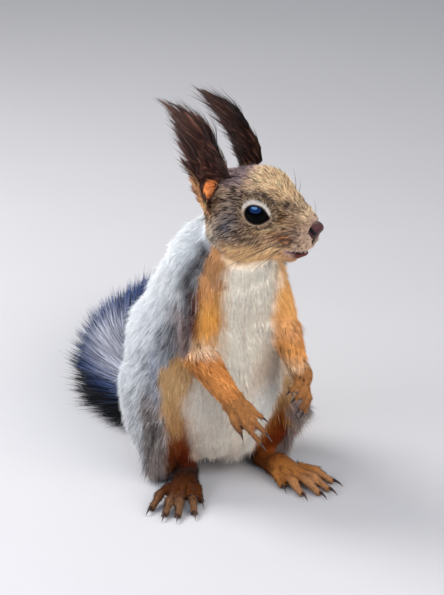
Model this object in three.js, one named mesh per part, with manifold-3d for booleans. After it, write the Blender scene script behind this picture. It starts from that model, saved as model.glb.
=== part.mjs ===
// A life-size red squirrel in its grey spring coat, sitting up on its hind feet with the head turned to its left.
// Millimetres. +Z is up, the chest looks along -Y, +X is the squirrel's left, and the floor is z = 0.
// Every form is a smooth blend of ellipsoids and tapered limbs, and its skin is found by rays from a spine inside it.
// Neighbours meet face to face with a small gap: each form is cut by the grown forms of what it grows from.
import * as THREE from "three";
import { mergeVertices } from "three/addons/utils/BufferGeometryUtils.js";
import Module from "manifold-3d";

const wasm = await Module();
wasm.setup();

// ---- Driving dimensions ------------------------------------------------------------------------------------------
const GAP = 0.3; // between touching nodes
const HIP_HEIGHT = 46; // the middle of the rump above the floor
const CHEST_HEIGHT = 103;
const SKULL = [2, -11, 142]; // the middle of the skull
const HEAD_TURN = 32; // degrees to the squirrel's left
const HEAD_NOD = 1; // degrees, nose down
const HEAD_ROLL = 2; // degrees, crown towards the squirrel's right
const EYE_RADIUS = 6.5;
const EYE_PLACE = [15.8, 11.6, 4]; // forward, sideways and up from the middle of the skull
const EAR_LENGTH = 29; // the pinna without its tuft
const TUFT_LENGTH = 29; // hair past the tip of the pinna
const TAIL_BRUSH = [26, 19]; // half width and half height of the tail's hair
const TAIL_CORE = 0.46; // the share of the hair's reach that the solid core fills
const FOOT_TURN = { right: 32, left: 8 }; // degrees outwards
const HEEL = { right: [-19, 3], left: [20, 0] };

const SIDES = { right: -1, left: 1 };
const rad = THREE.MathUtils.degToRad;
const V = (x, y, z) => new THREE.Vector3(x, y, z);
const vec = (p) => V(...p);
const mix = THREE.MathUtils.lerp;
const sided = (p, s) => [p[0] * s, p[1], p[2]];

// The same pseudo-random numbers on every run.
function seeded(seed) {
  let state = seed;
  return () => {
    state = (state * 1664525 + 1013904223) % 4294967296;
    return state / 4294967296;
  };
}

// ---- Fields: rough signed distances, below zero inside ---------------------------------------------------------
function ellipsoid(centre, half, turn = [0, 0, 0]) {
  const back = new THREE.Quaternion().setFromEuler(new THREE.Euler(...turn.map(rad))).invert();
  const middle = vec(centre);
  const [a, b, c] = half;
  return (p) => {
    const q = p.clone().sub(middle).applyQuaternion(back);
    const k0 = Math.hypot(q.x / a, q.y / b, q.z / c);
    const k1 = Math.hypot(q.x / (a * a), q.y / (b * b), q.z / (c * c));
    return k1 < 1e-9 ? -Math.min(a, b, c) : (k0 * (k0 - 1)) / k1;
  };
}

function limb(from, to, fromRadius, toRadius) {
  const a = vec(from);
  const along = vec(to).sub(a);
  const length2 = along.lengthSq();
  return (p) => {
    const t = THREE.MathUtils.clamp(p.clone().sub(a).dot(along) / length2, 0, 1);
    return p.distanceTo(a.clone().addScaledVector(along, t)) - mix(fromRadius, toRadius, t);
  };
}

function blend(softness, ...fields) {
  return (p) =>
    fields
      .map((f) => f(p))
      .reduce((a, b) => {
        const h = Math.max(softness - Math.abs(a - b), 0) / softness;
        return Math.min(a, b) - (h * h * softness) / 4;
      });
}

const pair = (make) => [make(-1), make(1)];

// ---- Meshes ------------------------------------------------------------------------------------------------------
// Closed skin over rings of points between two poles. Rings run counter-clockwise about the way from first to last.
function skin(rings, first, last) {
  const sides = rings[0].length;
  const points = [first, ...rings.flat(), last];
  const at = (ring, k) => 1 + ring * sides + (k % sides);
  const end = points.length - 1;
  const faces = [];
  for (let k = 0; k < sides; k++) {
    faces.push(0, at(0, k + 1), at(0, k));
    for (let r = 0; r + 1 < rings.length; r++) {
      faces.push(at(r, k), at(r, k + 1), at(r + 1, k + 1));
      faces.push(at(r, k), at(r + 1, k + 1), at(r + 1, k));
    }
    faces.push(end, at(rings.length - 1, k), at(rings.length - 1, k + 1));
  }
  return surface(points, faces);
}

function surface(points, faces) {
  const flat = points.flatMap((p) => [p.x, p.y, p.z]);
  return new THREE.BufferGeometry()
    .setAttribute("position", new THREE.Float32BufferAttribute(flat, 3))
    .setIndex(faces);
}

function solid(geometry) {
  const bare = geometry.clone();
  bare.deleteAttribute("normal");
  bare.deleteAttribute("uv");
  const merged = mergeVertices(bare, 1e-4);
  const triVerts = new Uint32Array(merged.index.array);
  const vertProperties = merged.attributes.position.array;
  return new wasm.Manifold(new wasm.Mesh({ numProp: 3, vertProperties, triVerts }));
}

const union = (solids) => solids.reduce((a, b) => a.add(b));
const cut = (whole, ...cutters) => cutters.reduce((a, b) => a.subtract(b), whole);
const largest = (s) => s.decompose().sort((a, b) => b.volume() - a.volume())[0];

function spineFrame(curve, t, side) {
  const tangent = curve.getTangentAt(t).normalize();
  const across = side.clone().addScaledVector(tangent, -side.dot(tangent)).normalize();
  return { origin: curve.getPointAt(t), tangent, across, third: tangent.clone().cross(across) };
}

// Rays leave the spine square to it and fan over its two ends, and each stops where the field reaches the level.
function wrap(field, spine, { sides = 16, along = 6, caps = 4, side = V(1, 0, 0), level = 0 }) {
  const curve = new THREE.CatmullRomCurve3(spine.map(vec), false, "centripetal");
  const reach = (origin, direction) => {
    let near = 0;
    let far = 0;
    while (field(origin.clone().addScaledVector(direction, far)) < level) {
      near = far;
      far += 0.8;
    }
    for (let i = 0; i < 12; i++) {
      const middle = (near + far) / 2;
      if (field(origin.clone().addScaledVector(direction, middle)) < level) near = middle;
      else far = middle;
    }
    return origin.clone().addScaledVector(direction, near);
  };
  const ring = (t, tilt) => {
    const f = spineFrame(curve, t, side);
    return Array.from({ length: sides }, (_, k) => {
      const angle = (2 * Math.PI * k) / sides;
      const radial = f.across.clone().multiplyScalar(Math.cos(angle)).addScaledVector(f.third, Math.sin(angle));
      const direction = radial.multiplyScalar(Math.cos(tilt)).addScaledVector(f.tangent, Math.sin(tilt));
      return reach(f.origin, direction);
    });
  };
  const pole = (t, sign) => {
    const f = spineFrame(curve, t, side);
    return reach(f.origin, f.tangent.multiplyScalar(sign));
  };
  const rings = [];
  for (let i = 1; i <= caps; i++) rings.push(ring(0, (Math.PI / 2) * (i / caps - 1)));
  for (let i = 1; i < along; i++) rings.push(ring(i / along, 0));
  for (let i = 0; i < caps; i++) rings.push(ring(1, (Math.PI / 2) * (i / caps)));
  return solid(skin(rings, pole(0, -1), pole(1, 1)));
}

// A tapered rod along points. widthAt and depthAt give the half sizes of its section at a share of its length.
function rod(points, widthAt, depthAt, { sides = 8, steps = 6, side = V(1, 0, 0) } = {}) {
  const curve = new THREE.CatmullRomCurve3(points, false, "centripetal");
  const rings = [];
  for (let i = 0; i <= steps; i++) {
    const t = mix(0.02, 0.98, i / steps);
    const f = spineFrame(curve, t, side);
    rings.push(
      Array.from({ length: sides }, (_, k) => {
        const angle = (2 * Math.PI * k) / sides;
        return f.origin
          .clone()
          .addScaledVector(f.across, Math.cos(angle) * widthAt(t))
          .addScaledVector(f.third, Math.sin(angle) * depthAt(t));
      }),
    );
  }
  return solid(skin(rings, curve.getPointAt(0), curve.getPointAt(1)));
}

// A flat, tapered lock of hair from its root to its tip, bent sideways at the middle.
function lock(root, tip, bend, width, thickness, side, steps = 3) {
  const middle = root.clone().lerp(tip, 0.5).add(bend);
  const swell = (t) => Math.sqrt(Math.max(0.02, 1 - t)) * (0.75 + 0.25 * Math.sin(Math.PI * t));
  const taper = (half) => (t) => half * swell(t) * (1 - 0.55 * t * t);
  return rod([root, middle, tip], taper(width / 2), taper(thickness / 2), { sides: 4, steps, side });
}

const floorCut = () => {
  const slab = new THREE.BoxGeometry(600, 600, 100);
  slab.translate(0, 0, -50);
  return solid(slab);
};
const onFloor = (s) => s.subtract(floorCut());

// ---- Trunk: one form, parted into torso and neck --------------------------------------------------------------------
const TRUNK_SPINE = [
  [0, 18, 34],
  [0, 20, 60],
  [0, 15, 86],
  [0, 6, CHEST_HEIGHT + 2],
  [1, 3, 123],
];
const NECK_LINE = { height: 114, tilt: -14 }; // above the floor at the middle, and degrees down at the throat
const trunkField = blend(
  14,
  ellipsoid([0, 24, HIP_HEIGHT + 2], [40, 37, 41]),
  ellipsoid([-1, 1, HIP_HEIGHT + 1], [32, 24, 39]),
  ellipsoid([0, 18, 74], [38, 37, 32]),
  ellipsoid([0.5, 5, CHEST_HEIGHT], [30, 27, 25.5]),
  ellipsoid([2.5, 1.5, 114], [20, 20, 22]),
);
const trunk = (grow = 0) => wrap(trunkField, TRUNK_SPINE, { sides: 24, along: 11, caps: 5, level: grow });

// The half of space above or below the slanted line of the neck, with half a gap over it.
function besideNeckLine(sign) {
  const block = new THREE.BoxGeometry(400, 400, 200);
  block.translate(0, 0, (sign * (200 - GAP)) / 2);
  block.rotateX(-rad(NECK_LINE.tilt));
  block.translate(0, 6, NECK_LINE.height);
  return solid(block);
}
const torso = () => largest(cut(trunk(), besideNeckLine(1)));
const neck = () => largest(cut(trunk(), besideNeckLine(-1)));

// ---- Head --------------------------------------------------------------------------------------------------------
// Head places are [forward, left, up] from the middle of the skull.
const headFrame = new THREE.Matrix4().compose(
  vec(SKULL),
  new THREE.Quaternion().setFromEuler(new THREE.Euler(rad(HEAD_NOD), -rad(HEAD_ROLL), rad(HEAD_TURN), "ZXY")),
  V(1, 1, 1),
);
const local = ([forward, left, up]) => [left, -forward, up];
const inHead = (place) => vec(local(place)).applyMatrix4(headFrame);
const headAlong = (way) => vec(local(way)).transformDirection(headFrame);
const fromHead = headFrame.clone().invert();
const headed = (field) => (p) => field(p.clone().applyMatrix4(fromHead));
const blob = (place, half, turn) => ellipsoid(local(place), [half[1], half[0], half[2]], turn);
const bar = (a, b, ra, rb) => limb(local(a), local(b), ra, rb);

const skullField = blend(
  5,
  blob([0, 0, 2.5], [19, 15.5, 16.5]),
  blob([13.2, 0, 8.2], [16, 13, 13.8]),
  blob([23.5, 0, 0.3], [17, 9.2, 11.3]),
  ...pair((s) => blob([3, 7 * s, -10], [17, 10.5, 13.5])),
  ...pair((s) => blob([31.5, 3.8 * s, -8.5], [9.5, 4.8, 6.6])),
  bar([8, 0, -15.5], [31.5, 0, -17.6], 10.5, 4),
);
const headShell = (grow = 0) =>
  wrap(headed(skullField), [inHead([2, 0, -3]).toArray(), inHead([26, 0, -6]).toArray()], {
    sides: 20,
    along: 7,
    caps: 5,
    side: headAlong([0, 1, 0]),
    level: grow,
  });

const eyePlace = (s) => inHead([EYE_PLACE[0], EYE_PLACE[1] * s, EYE_PLACE[2]]);
const eyeAxis = (s) => headAlong([0.4, s, 0.12]).normalize();
const eyeBall = (s, grow = 0) => {
  const ball = new THREE.SphereGeometry(EYE_RADIUS + grow, 14, 8);
  ball.translate(...eyePlace(s).toArray());
  return solid(ball);
};

// Raised rim of the lids, drawn out to a point at the front corner of the eye.
function lidRing(s) {
  const rim = new THREE.TorusGeometry(EYE_RADIUS + 0.1, 1.3, 4, 14);
  const place = rim.getAttribute("position");
  for (let i = 0; i < place.count; i++) {
    const x = place.getX(i);
    if (x * s > 0) place.setX(i, x * (1 + 0.16 * (x / EYE_RADIUS) ** 2));
  }
  const axis = eyeAxis(s);
  const forward = headAlong([1, 0, -0.35]).addScaledVector(axis, -headAlong([1, 0, -0.35]).dot(axis)).normalize();
  const x = forward.clone().multiplyScalar(s);
  const basis = new THREE.Matrix4().makeBasis(x, axis.clone().cross(x), axis);
  basis.setPosition(eyePlace(s).addScaledVector(axis, 2.5));
  return solid(rim.applyMatrix4(basis));
}

// The mouth is a thin wedge through the muzzle, open at the lips and closed at the corner, [forward, up].
const MOUTH = [
  [25, -17.2],
  [33, -15.2],
  [46, -13.4],
  [46, -15.6],
  [37, -16.4],
  [30, -17.2],
];
function mouthCut() {
  const outline = new THREE.Shape();
  const [corner, ...lips] = MOUTH;
  outline.moveTo(...corner);
  lips.forEach((place) => outline.lineTo(...place));
  outline.closePath();
  const slab = new THREE.ExtrudeGeometry(outline, { depth: 40, bevelEnabled: false });
  slab.translate(0, 0, -20);
  const basis = new THREE.Matrix4().makeBasis(headAlong([1, 0, 0]), headAlong([0, 0, 1]), headAlong([0, -1, 0]));
  return solid(slab.applyMatrix4(basis.setPosition(vec(SKULL))));
}

const noseField = blend(
  1.5,
  blob([40.6, 0, -3.4], [3.4, 3.4, 3.5]),
  ...pair((s) => blob([40, 2 * s, -4.6], [3.2, 2, 2.8])),
  blob([39.6, 0, -7], [2.4, 1.5, 3]),
);
const nosePad = (grow = 0) =>
  wrap(headed(noseField), [inHead([39, 0, -4]).toArray(), inHead([40.6, 0, -4.1]).toArray()], {
    sides: 12,
    along: 1,
    caps: 3,
    side: headAlong([0, 1, 0]),
    level: grow,
  });
const nostril = (s) =>
  rod(
    [inHead([46, 1.7 * s, -4.8]), inHead([42.6, 2 * s, -5]), inHead([39.8, 3.4 * s, -5.6])],
    () => 0.65,
    () => 0.8,
    { sides: 6, steps: 3, side: headAlong([0, 1, 0]) },
  );

const head = () =>
  largest(
    cut(
      union([headShell(), lidRing(-1), lidRing(1)]),
      eyeBall(-1, GAP),
      eyeBall(1, GAP),
      mouthCut(),
      nosePad(GAP),
    ),
  );
const nose = () => largest(cut(nosePad(), nostril(-1), nostril(1)));

// ---- Ears --------------------------------------------------------------------------------------------------------
const EAR_ROOT = { right: [-4.9, -12.3, 7], left: [2.6, 14.4, 8.5] };
const EAR_WAY = { right: [-0.12, -0.13, 0.98], left: [-0.27, 0.1, 0.95] };
const TUFT_WAY = { right: [-0.95, -0.1, 0.32], left: [-0.98, 0.02, 0.06] };
const EAR_MOUTH = { right: [0.55, -0.8, 0.25], left: [0.55, 0.8, 0.25] };
const EAR_WALL = 1.1;

function earFrame(name) {
  const up = headAlong(EAR_WAY[name]);
  const mouth = headAlong(EAR_MOUTH[name]);
  mouth.addScaledVector(up, -mouth.dot(up)).normalize();
  const across = up.clone().cross(mouth);
  return { root: inHead(EAR_ROOT[name]), up, mouth, across };
}
const earPoint = (f, across, mouth, up) =>
  f.root.clone().addScaledVector(f.across, across).addScaledVector(f.mouth, mouth).addScaledVector(f.up, up);
const earWidth = (t) => mix(6.8, 8.2, Math.sin(Math.PI * Math.min(1, t * 1.5))) * Math.sqrt(Math.max(0.03, 1 - t ** 3));
const earDepth = (t) => mix(6.5, 3.2, t);
const earWrap = (t) => rad(mix(125, 62, t));

// The pinna is a cup: an arc of skin round the ear's axis, open towards the mouth, narrowing to its tip.
function pinna(f) {
  const rows = 5;
  const columns = 7;
  const points = [];
  const faces = [];
  const index = (layer, row, column) => (layer * (rows + 1) + row) * (columns + 1) + column;
  for (const layer of [0, 1])
    for (let row = 0; row <= rows; row++)
      for (let column = 0; column <= columns; column++) {
        const t = row / rows;
        const angle = mix(-1, 1, column / columns) * earWrap(t);
        const inset = layer * EAR_WALL;
        const across = (earWidth(t) - inset) * Math.sin(angle);
        const mouth = -(earDepth(t) - inset) * Math.cos(angle);
        points.push(earPoint(f, across, mouth, mix(-6, EAR_LENGTH, t)));
      }
  const quad = (a, b, c, d) => faces.push(a, b, c, a, c, d);
  for (let row = 0; row < rows; row++)
    for (let column = 0; column < columns; column++) {
      const corners = (layer) => [
        index(layer, row, column),
        index(layer, row, column + 1),
        index(layer, row + 1, column + 1),
        index(layer, row + 1, column),
      ];
      quad(...corners(0).reverse());
      quad(...corners(1));
    }
  for (let row = 0; row < rows; row++) {
    quad(index(1, row, 0), index(1, row + 1, 0), index(0, row + 1, 0), index(0, row, 0));
    quad(index(0, row, columns), index(0, row + 1, columns), index(1, row + 1, columns), index(1, row, columns));
  }
  for (let column = 0; column < columns; column++) {
    quad(index(0, 0, column), index(0, 0, column + 1), index(1, 0, column + 1), index(1, 0, column));
    quad(index(0, rows, column + 1), index(0, rows, column), index(1, rows, column), index(1, rows, column + 1));
  }
  return solid(surface(points, faces));
}

// Long hair springs from the back and both edges of the pinna, and at its tip sweeps backwards to a tuft.
function earLocks(name, f) {
  const draw = seeded(name === "left" ? 11 : 7);
  const rows = [0.36, 0.55, 0.72, 0.86, 0.96];
  const sweep = headAlong(TUFT_WAY[name]);
  return rows.flatMap((t, row) => {
    const count = row < 2 ? 3 : 4;
    return Array.from({ length: count }, (_, k) => {
      const share = mix(-1, 1, (k + 0.5) / count) * 0.85;
      const angle = share * earWrap(t) + (draw() - 0.5) * 0.15;
      const radius = 1 - EAR_WALL / 2 / earWidth(t);
      const across = earWidth(t) * radius * Math.sin(angle);
      const root = earPoint(f, across, -earDepth(t) * radius * Math.cos(angle), mix(-6, EAR_LENGTH, t) - 1);
      const length = mix(11, TUFT_LENGTH, t ** 2) * mix(0.85, 1.1, draw());
      const spread = f.across.clone().multiplyScalar(Math.sin(angle) * mix(0.32, -0.06, t));
      const middle = root.clone().addScaledVector(f.up, length * 0.5).addScaledVector(spread, length * 0.3);
      const tip = root
        .clone()
        .addScaledVector(f.up, length * mix(0.7, 0.34, t))
        .addScaledVector(sweep, length * mix(0.4, 0.8, t))
        .addScaledVector(spread, length * 0.6);
      const bend = middle.sub(root.clone().lerp(tip, 0.5)).multiplyScalar(0.7);
      const face = f.across.clone().multiplyScalar(Math.cos(angle)).addScaledVector(f.mouth, Math.sin(angle));
      return lock(root, tip, bend, mix(3.6, 4.6, draw()), 1.1, face, 2);
    });
  });
}

const ear = (name) => {
  const f = earFrame(name);
  return largest(cut(union([pinna(f), ...earLocks(name, f)]), headShell(GAP), trunk(GAP)));
};

// ---- Arms and hands ----------------------------------------------------------------------------------------------
const ARMS = {
  right: {
    girth: [8.8, 6.2], // radius of the forearm at the elbow and at the wrist
    shoulder: [-16.5, -7, 106.5],
    elbow: [-24.4, -16.4, 76.2],
    wrist: [-17, -32, 59.2],
    palm: [-14.5, -35, 54],
    spread: [0.75, -0.1, 0.5],
    digits: [
      [[-12, -34.5, 57], [-6, -40, 49.5], [-2, -41.3, 46], [1.4, -42.3, 42.5]],
      [[-12.5, -36, 54.5], [-7.4, -43, 45.7], [-2.5, -45, 39.7], [0.8, -45.8, 34.5]],
      [[-14.5, -36.5, 52.5], [-10.1, -43, 42.4], [-5.6, -45.4, 35.4], [-2.3, -46, 30.5]],
      [[-16.5, -35, 51.5], [-14.8, -38.9, 43.2], [-12.6, -39.5, 39.5], [-11, -38.6, 34.5]],
    ],
  },
  left: {
    girth: [8.2, 6],
    shoulder: [18, -5, 107],
    elbow: [24.5, -11, 81],
    wrist: [22.6, -28.4, 65.8],
    palm: [25, -31.5, 58.5],
    spread: [0.4, 0.9, 0],
    digits: [
      [[23.5, -32, 57.5], [20, -34.5, 55.2], [17.6, -32.6, 52.4], [17, -30, 48.6]],
      [[24.5, -33, 56], [22.3, -35.8, 51], [20, -33.6, 48.2], [18.6, -30.4, 44.2]],
      [[25.8, -32.5, 55], [25.2, -35.6, 47.6], [22.2, -34, 42.6], [20.2, -31.4, 37.2]],
      [[27, -31, 54], [27.6, -33, 45.5], [25.6, -32.2, 39.6], [23, -30.2, 34]],
    ],
  },
};
const FINGER = [2.5, 1.75]; // radius at the knuckle and at the tip

const upperArm = (name, grow = 0) => {
  const { shoulder, elbow } = ARMS[name];
  return wrap(limb(shoulder, elbow, 11, 8.6), [shoulder, elbow], { sides: 12, along: 3, caps: 3, level: grow });
};
const forearm = (name, grow = 0) => {
  const { elbow, wrist } = ARMS[name];
  return wrap(limb(elbow, wrist, ...ARMS[name].girth), [elbow, wrist], { sides: 12, along: 4, caps: 3, level: grow });
};

const digitPath = (points) => points.map(vec);
function digit(path, [thick, thin], grow = 0) {
  const bulge = (t) => 1 + 0.12 * Math.cos(4 * Math.PI * t);
  const size = (t) => mix(thick, thin, t) * bulge(t) * (t > 0.9 ? 0.78 : 1) + grow;
  return rod(path, size, size, { sides: 6, steps: 4, side: V(0.3, 0.9, 0.2) });
}
// A curved, pointed claw that leaves the tip of a digit.
function claw(from, bend, tip, thick) {
  const taper = (t) => thick * (1 - 0.9 * t);
  return rod([from, bend, tip], (t) => taper(t) * 0.8, taper, { sides: 5, steps: 2, side: V(0.9, 0.2, 0.3) });
}

const fingers = (name, grow = 0) =>
  ARMS[name].digits.map((d) => digit(digitPath(d.slice(0, 3)), FINGER, grow));
function palm(name, grow = 0) {
  const { wrist, palm: middle, digits } = ARMS[name];
  const knuckles = digits.map((d) => limb(middle, d[0], 4.2, 2.6));
  const field = blend(2, limb(wrist, middle, 5.2, 4.9), ...knuckles);
  return wrap(field, [wrist, middle], { sides: 12, along: 3, caps: 3, level: grow });
}
const hand = (name) => largest(cut(union([palm(name), ...fingers(name)]), forearm(name, GAP)));
const handClaws = (name) =>
  ARMS[name].digits.map((d) => {
    const [, , end, tip] = d.map(vec);
    const inside = end.clone().lerp(vec(d[1]), 0.12);
    const bend = end.clone().lerp(tip, 0.45).addScaledVector(vec(d[2]).sub(vec(d[1])).normalize(), 0.9);
    return largest(cut(claw(inside, bend, tip, 1.15), union(fingers(name, GAP))));
  });

// ---- Legs and feet -----------------------------------------------------------------------------------------------
const KNEE = { right: [-33, -4, 28], left: [32, -6, 27] };
const HOCK_FUR = { right: [-33, 7, 11], left: [32, 5, 9.5] }; // the hanging hair of the haunch reaches the floor here
const thighField = (name) => {
  const s = SIDES[name];
  return blend(
    10,
    ellipsoid([26 * s, 19, 41], [19.5, 27, 28]),
    ellipsoid(KNEE[name].map((x, i) => x + [2 * s, 4, 3][i]), [9, 12, 13]),
    limb([32 * s, 13, 28], HOCK_FUR[name], 12, 9),
  );
};
const thigh = (name, grow = 0) => {
  const s = SIDES[name];
  const spine = [[26 * s, 19, 42], [30 * s, 10, 30], [30 * s, 6, 20]];
  return wrap(thighField(name), spine, { sides: 18, along: 5, caps: 4, side: V(0, 1, 0), level: grow });
};

// A foot's own places: [outwards, forward, up] from the heel.
function footFrame(name) {
  const s = SIDES[name];
  const turn = rad(FOOT_TURN[name]) * s;
  const forward = V(Math.sin(turn), -Math.cos(turn), 0);
  const outward = V(Math.cos(turn), Math.sin(turn), 0).multiplyScalar(s);
  const heel = V(...HEEL[name], 0);
  return (out, ahead, up) =>
    heel.clone().addScaledVector(outward, out).addScaledVector(forward, ahead).add(V(0, 0, up));
}
const TOES = [
  { turn: -17, reach: 31 },
  { turn: -9, reach: 43 },
  { turn: 1, reach: 46.5 },
  { turn: 9, reach: 46 },
  { turn: 20, reach: 42 },
];
const TOE = [2.9, 2.1]; // radius at the knuckle and at the tip
const CLAW_REACH = 5.5;

const ankleOf = (name) => footFrame(name)(0, 3, 10).toArray();
const shank = (name, grow = 0) => {
  const ankle = ankleOf(name);
  const top = KNEE[name].map((x, i) => x + [-2 * SIDES[name], 3, 2][i]);
  return wrap(limb(top, ankle, 9, 6), [top, ankle], { sides: 12, along: 4, caps: 3, level: grow });
};
const soleField = (name) => {
  const at = footFrame(name);
  const p = (...q) => at(...q).toArray();
  return blend(
    3,
    limb(p(0, 1, 4.6), p(0, 15, 5), 5.4, 5.2),
    limb(p(-1, 14, 4.4), p(-5, 25, 3.4), 5, 3.2),
    limb(p(1, 14, 4.4), p(6, 27, 3.4), 5, 3.2),
    limb(p(0, 14, 4.6), p(0.5, 28, 3.8), 5.2, 3.4),
  );
};
const sole = (name, grow = 0) => {
  const at = footFrame(name);
  return wrap(soleField(name), [at(0, 3, 4.4).toArray(), at(0.5, 22, 4).toArray()], {
    sides: 10,
    along: 4,
    caps: 3,
    level: grow,
  });
};
const toePath = (name, { turn, reach }) => {
  const at = footFrame(name);
  const out = (ahead) => Math.sin(rad(turn)) * ahead;
  const ahead = (length) => Math.cos(rad(turn)) * length;
  const place = (length, up) => at(out(length), ahead(length), up);
  return [place(reach - 21, 3.6), place(reach - 12, 5), place(reach - 5, 2.7), place(reach, 1.4)];
};
const toes = (name, grow = 0) => TOES.map((toe) => digit(toePath(name, toe), TOE, grow));
const foot = (name) => largest(onFloor(cut(union([sole(name), ...toes(name)]), shank(name, GAP))));
const footClaws = (name) => {
  const at = footFrame(name);
  return TOES.map(({ turn, reach }) => {
    const place = (length, up) => at(Math.sin(rad(turn)) * length, Math.cos(rad(turn)) * length, up);
    const [from, bend, tip] = [
      place(reach - 1, 1.9),
      place(reach + CLAW_REACH * 0.5, 2.6),
      place(reach + CLAW_REACH, 0.25),
    ];
    return largest(onFloor(cut(claw(from, bend, tip, 1.25), union(toes(name, GAP)))));
  });
};

// ---- Tail --------------------------------------------------------------------------------------------------------
const TAIL_PATH = [
  [0, 46, 20],
  [-3, 64, 15],
  [-4, 86, 14],
  [0, 107, 14.5],
  [12, 130, 15.5],
  [31, 152, 17],
  [53, 168, 19],
];
const TAIL_ROWS = 9;
const TAIL_AROUND = 7;
const TAIL_PART = 0.53; // the share of the tail's length where its base meets its end
const tailCurve = new THREE.CatmullRomCurve3(TAIL_PATH.map(vec), false, "centripetal");
const tailFull = (t) => mix(0.85, 1, Math.min(1, t * 3.5)) * mix(1, 0.62, Math.max(0, (t - 0.6) / 0.4));

function tailCore() {
  const size = (half, floor) => (t) =>
    Math.max(floor, half * TAIL_CORE * tailFull(t)) * Math.sqrt(Math.max(0.05, 1 - Math.max(0, (t - 0.7) / 0.3) ** 2));
  return rod(TAIL_PATH.map(vec), size(TAIL_BRUSH[0], 6), size(TAIL_BRUSH[1], 6), { sides: 12, steps: 12 });
}

// Locks lie back along the tail over one another and are laid on the floor where they would pass it.
function tailLocks() {
  const draw = seeded(23);
  const locks = [];
  for (let row = 0; row < TAIL_ROWS; row++) {
    const t = mix(0.01, 0.95, row / (TAIL_ROWS - 1));
    const f = spineFrame(tailCurve, t, V(1, 0, 0));
    for (let k = 0; k < TAIL_AROUND; k++) {
      const angle = (2 * Math.PI * (k + (row % 2) / 2 + (draw() - 0.5) * 0.4)) / TAIL_AROUND;
      const below = Math.sin(angle) < 0;
      const high = Math.sign(Math.sin(angle)) * Math.abs(Math.sin(angle)) ** (below ? 0.7 : 1);
      const wide = Math.sign(Math.cos(angle)) * Math.abs(Math.cos(angle)) ** (below ? 0.4 : 0.9);
      const full = tailFull(t) * mix(0.9, 1.08, draw());
      const radial = f.across.clone().multiplyScalar(wide * TAIL_BRUSH[0]).addScaledVector(f.third, high * TAIL_BRUSH[1]);
      const root = f.origin.clone().addScaledVector(radial, TAIL_CORE * tailFull(t) * 0.5);
      const tip = f.origin.clone().addScaledVector(radial, full).addScaledVector(f.tangent, mix(27, 33, draw()));
      tip.z = Math.max(tip.z, 0.5);
      const bend = radial.clone().normalize().multiplyScalar(mix(3.4, 4.6, draw()));
      const flat = f.tangent.clone().cross(radial).normalize();
      locks.push(lock(root, tip, bend, mix(10, 13, draw()), 2.4, flat, 2));
    }
  }
  return locks;
}

// The tail is parted square to its length: sign -1 keeps the base and 1 the end.
function besideTailPart(sign) {
  const f = spineFrame(tailCurve, TAIL_PART, V(1, 0, 0));
  const block = new THREE.BoxGeometry(300, 300, 200);
  block.translate(0, 0, (sign * (GAP - 200)) / 2);
  const basis = new THREE.Matrix4().makeBasis(f.across, f.third, f.tangent);
  return solid(block.applyMatrix4(basis.setPosition(f.origin)));
}
const tail = onFloor(cut(union([tailCore(), ...tailLocks()]), trunk(GAP)));
const tailPart = (sign) => largest(cut(tail, besideTailPart(sign)));

// ---- Scene graph -------------------------------------------------------------------------------------------------
const finish = (name, color, roughness) => new THREE.MeshStandardMaterial({ name, color, roughness, metalness: 0 });
const MATERIALS = {
  grey_fur: finish("grey_fur", 0xa9abaf, 0.9),
  white_fur: finish("white_fur", 0xe4dccf, 0.9),
  russet_fur: finish("russet_fur", 0xc98544, 0.88),
  tuft_fur: finish("tuft_fur", 0x3a2a24, 0.85),
  tail_fur: finish("tail_fur", 0x5d5a5e, 0.9),
  nose_skin: finish("nose_skin", 0x5d4546, 0.45),
  eye: finish("eye", 0x0a0a0f, 0.06),
  claw: finish("claw", 0x2d2629, 0.35),
};

const squirrel = new THREE.Group();
squirrel.name = "squirrel";

// Adds a node whose own origin is the place that it turns about.
function add(group, name, made, material, pivot) {
  const { vertProperties, triVerts, numProp } = made.getMesh();
  const points = [];
  for (let i = 0; i < vertProperties.length; i += numProp) points.push(V(...vertProperties.subarray(i, i + 3)));
  const geometry = surface(points, Array.from(triVerts));
  geometry.translate(-pivot[0], -pivot[1], -pivot[2]);
  geometry.computeVertexNormals();
  const mesh = new THREE.Mesh(geometry, MATERIALS[material]);
  mesh.name = name;
  mesh.position.set(...pivot);
  group.add(mesh);
  return mesh;
}

const body = new THREE.Group();
const headGroup = new THREE.Group();
squirrel.add(body, headGroup);

const trunkGrown = trunk(GAP);
const besideTrunk = (made) => largest(cut(made, trunkGrown));
add(body, "torso", torso(), "white_fur", [0, 15, HIP_HEIGHT]);
add(body, "neck", largest(cut(neck(), headShell(GAP))), "grey_fur", [1, 0, 116]);
add(body, "tail_base", tailPart(-1), "tail_fur", TAIL_PATH[0]);
add(body, "tail_end", tailPart(1), "tail_fur", tailCurve.getPointAt(TAIL_PART).toArray());

add(headGroup, "head", head(), "russet_fur", SKULL);
add(headGroup, "nose", nose(), "nose_skin", inHead([40, 0, -4]).toArray());
for (const [name, s] of Object.entries(SIDES)) {
  add(headGroup, `eye_${name}`, eyeBall(s), "eye", eyePlace(s).toArray());
  add(headGroup, `ear_${name}`, ear(name), "tuft_fur", inHead(EAR_ROOT[name]).toArray());
}

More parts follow.
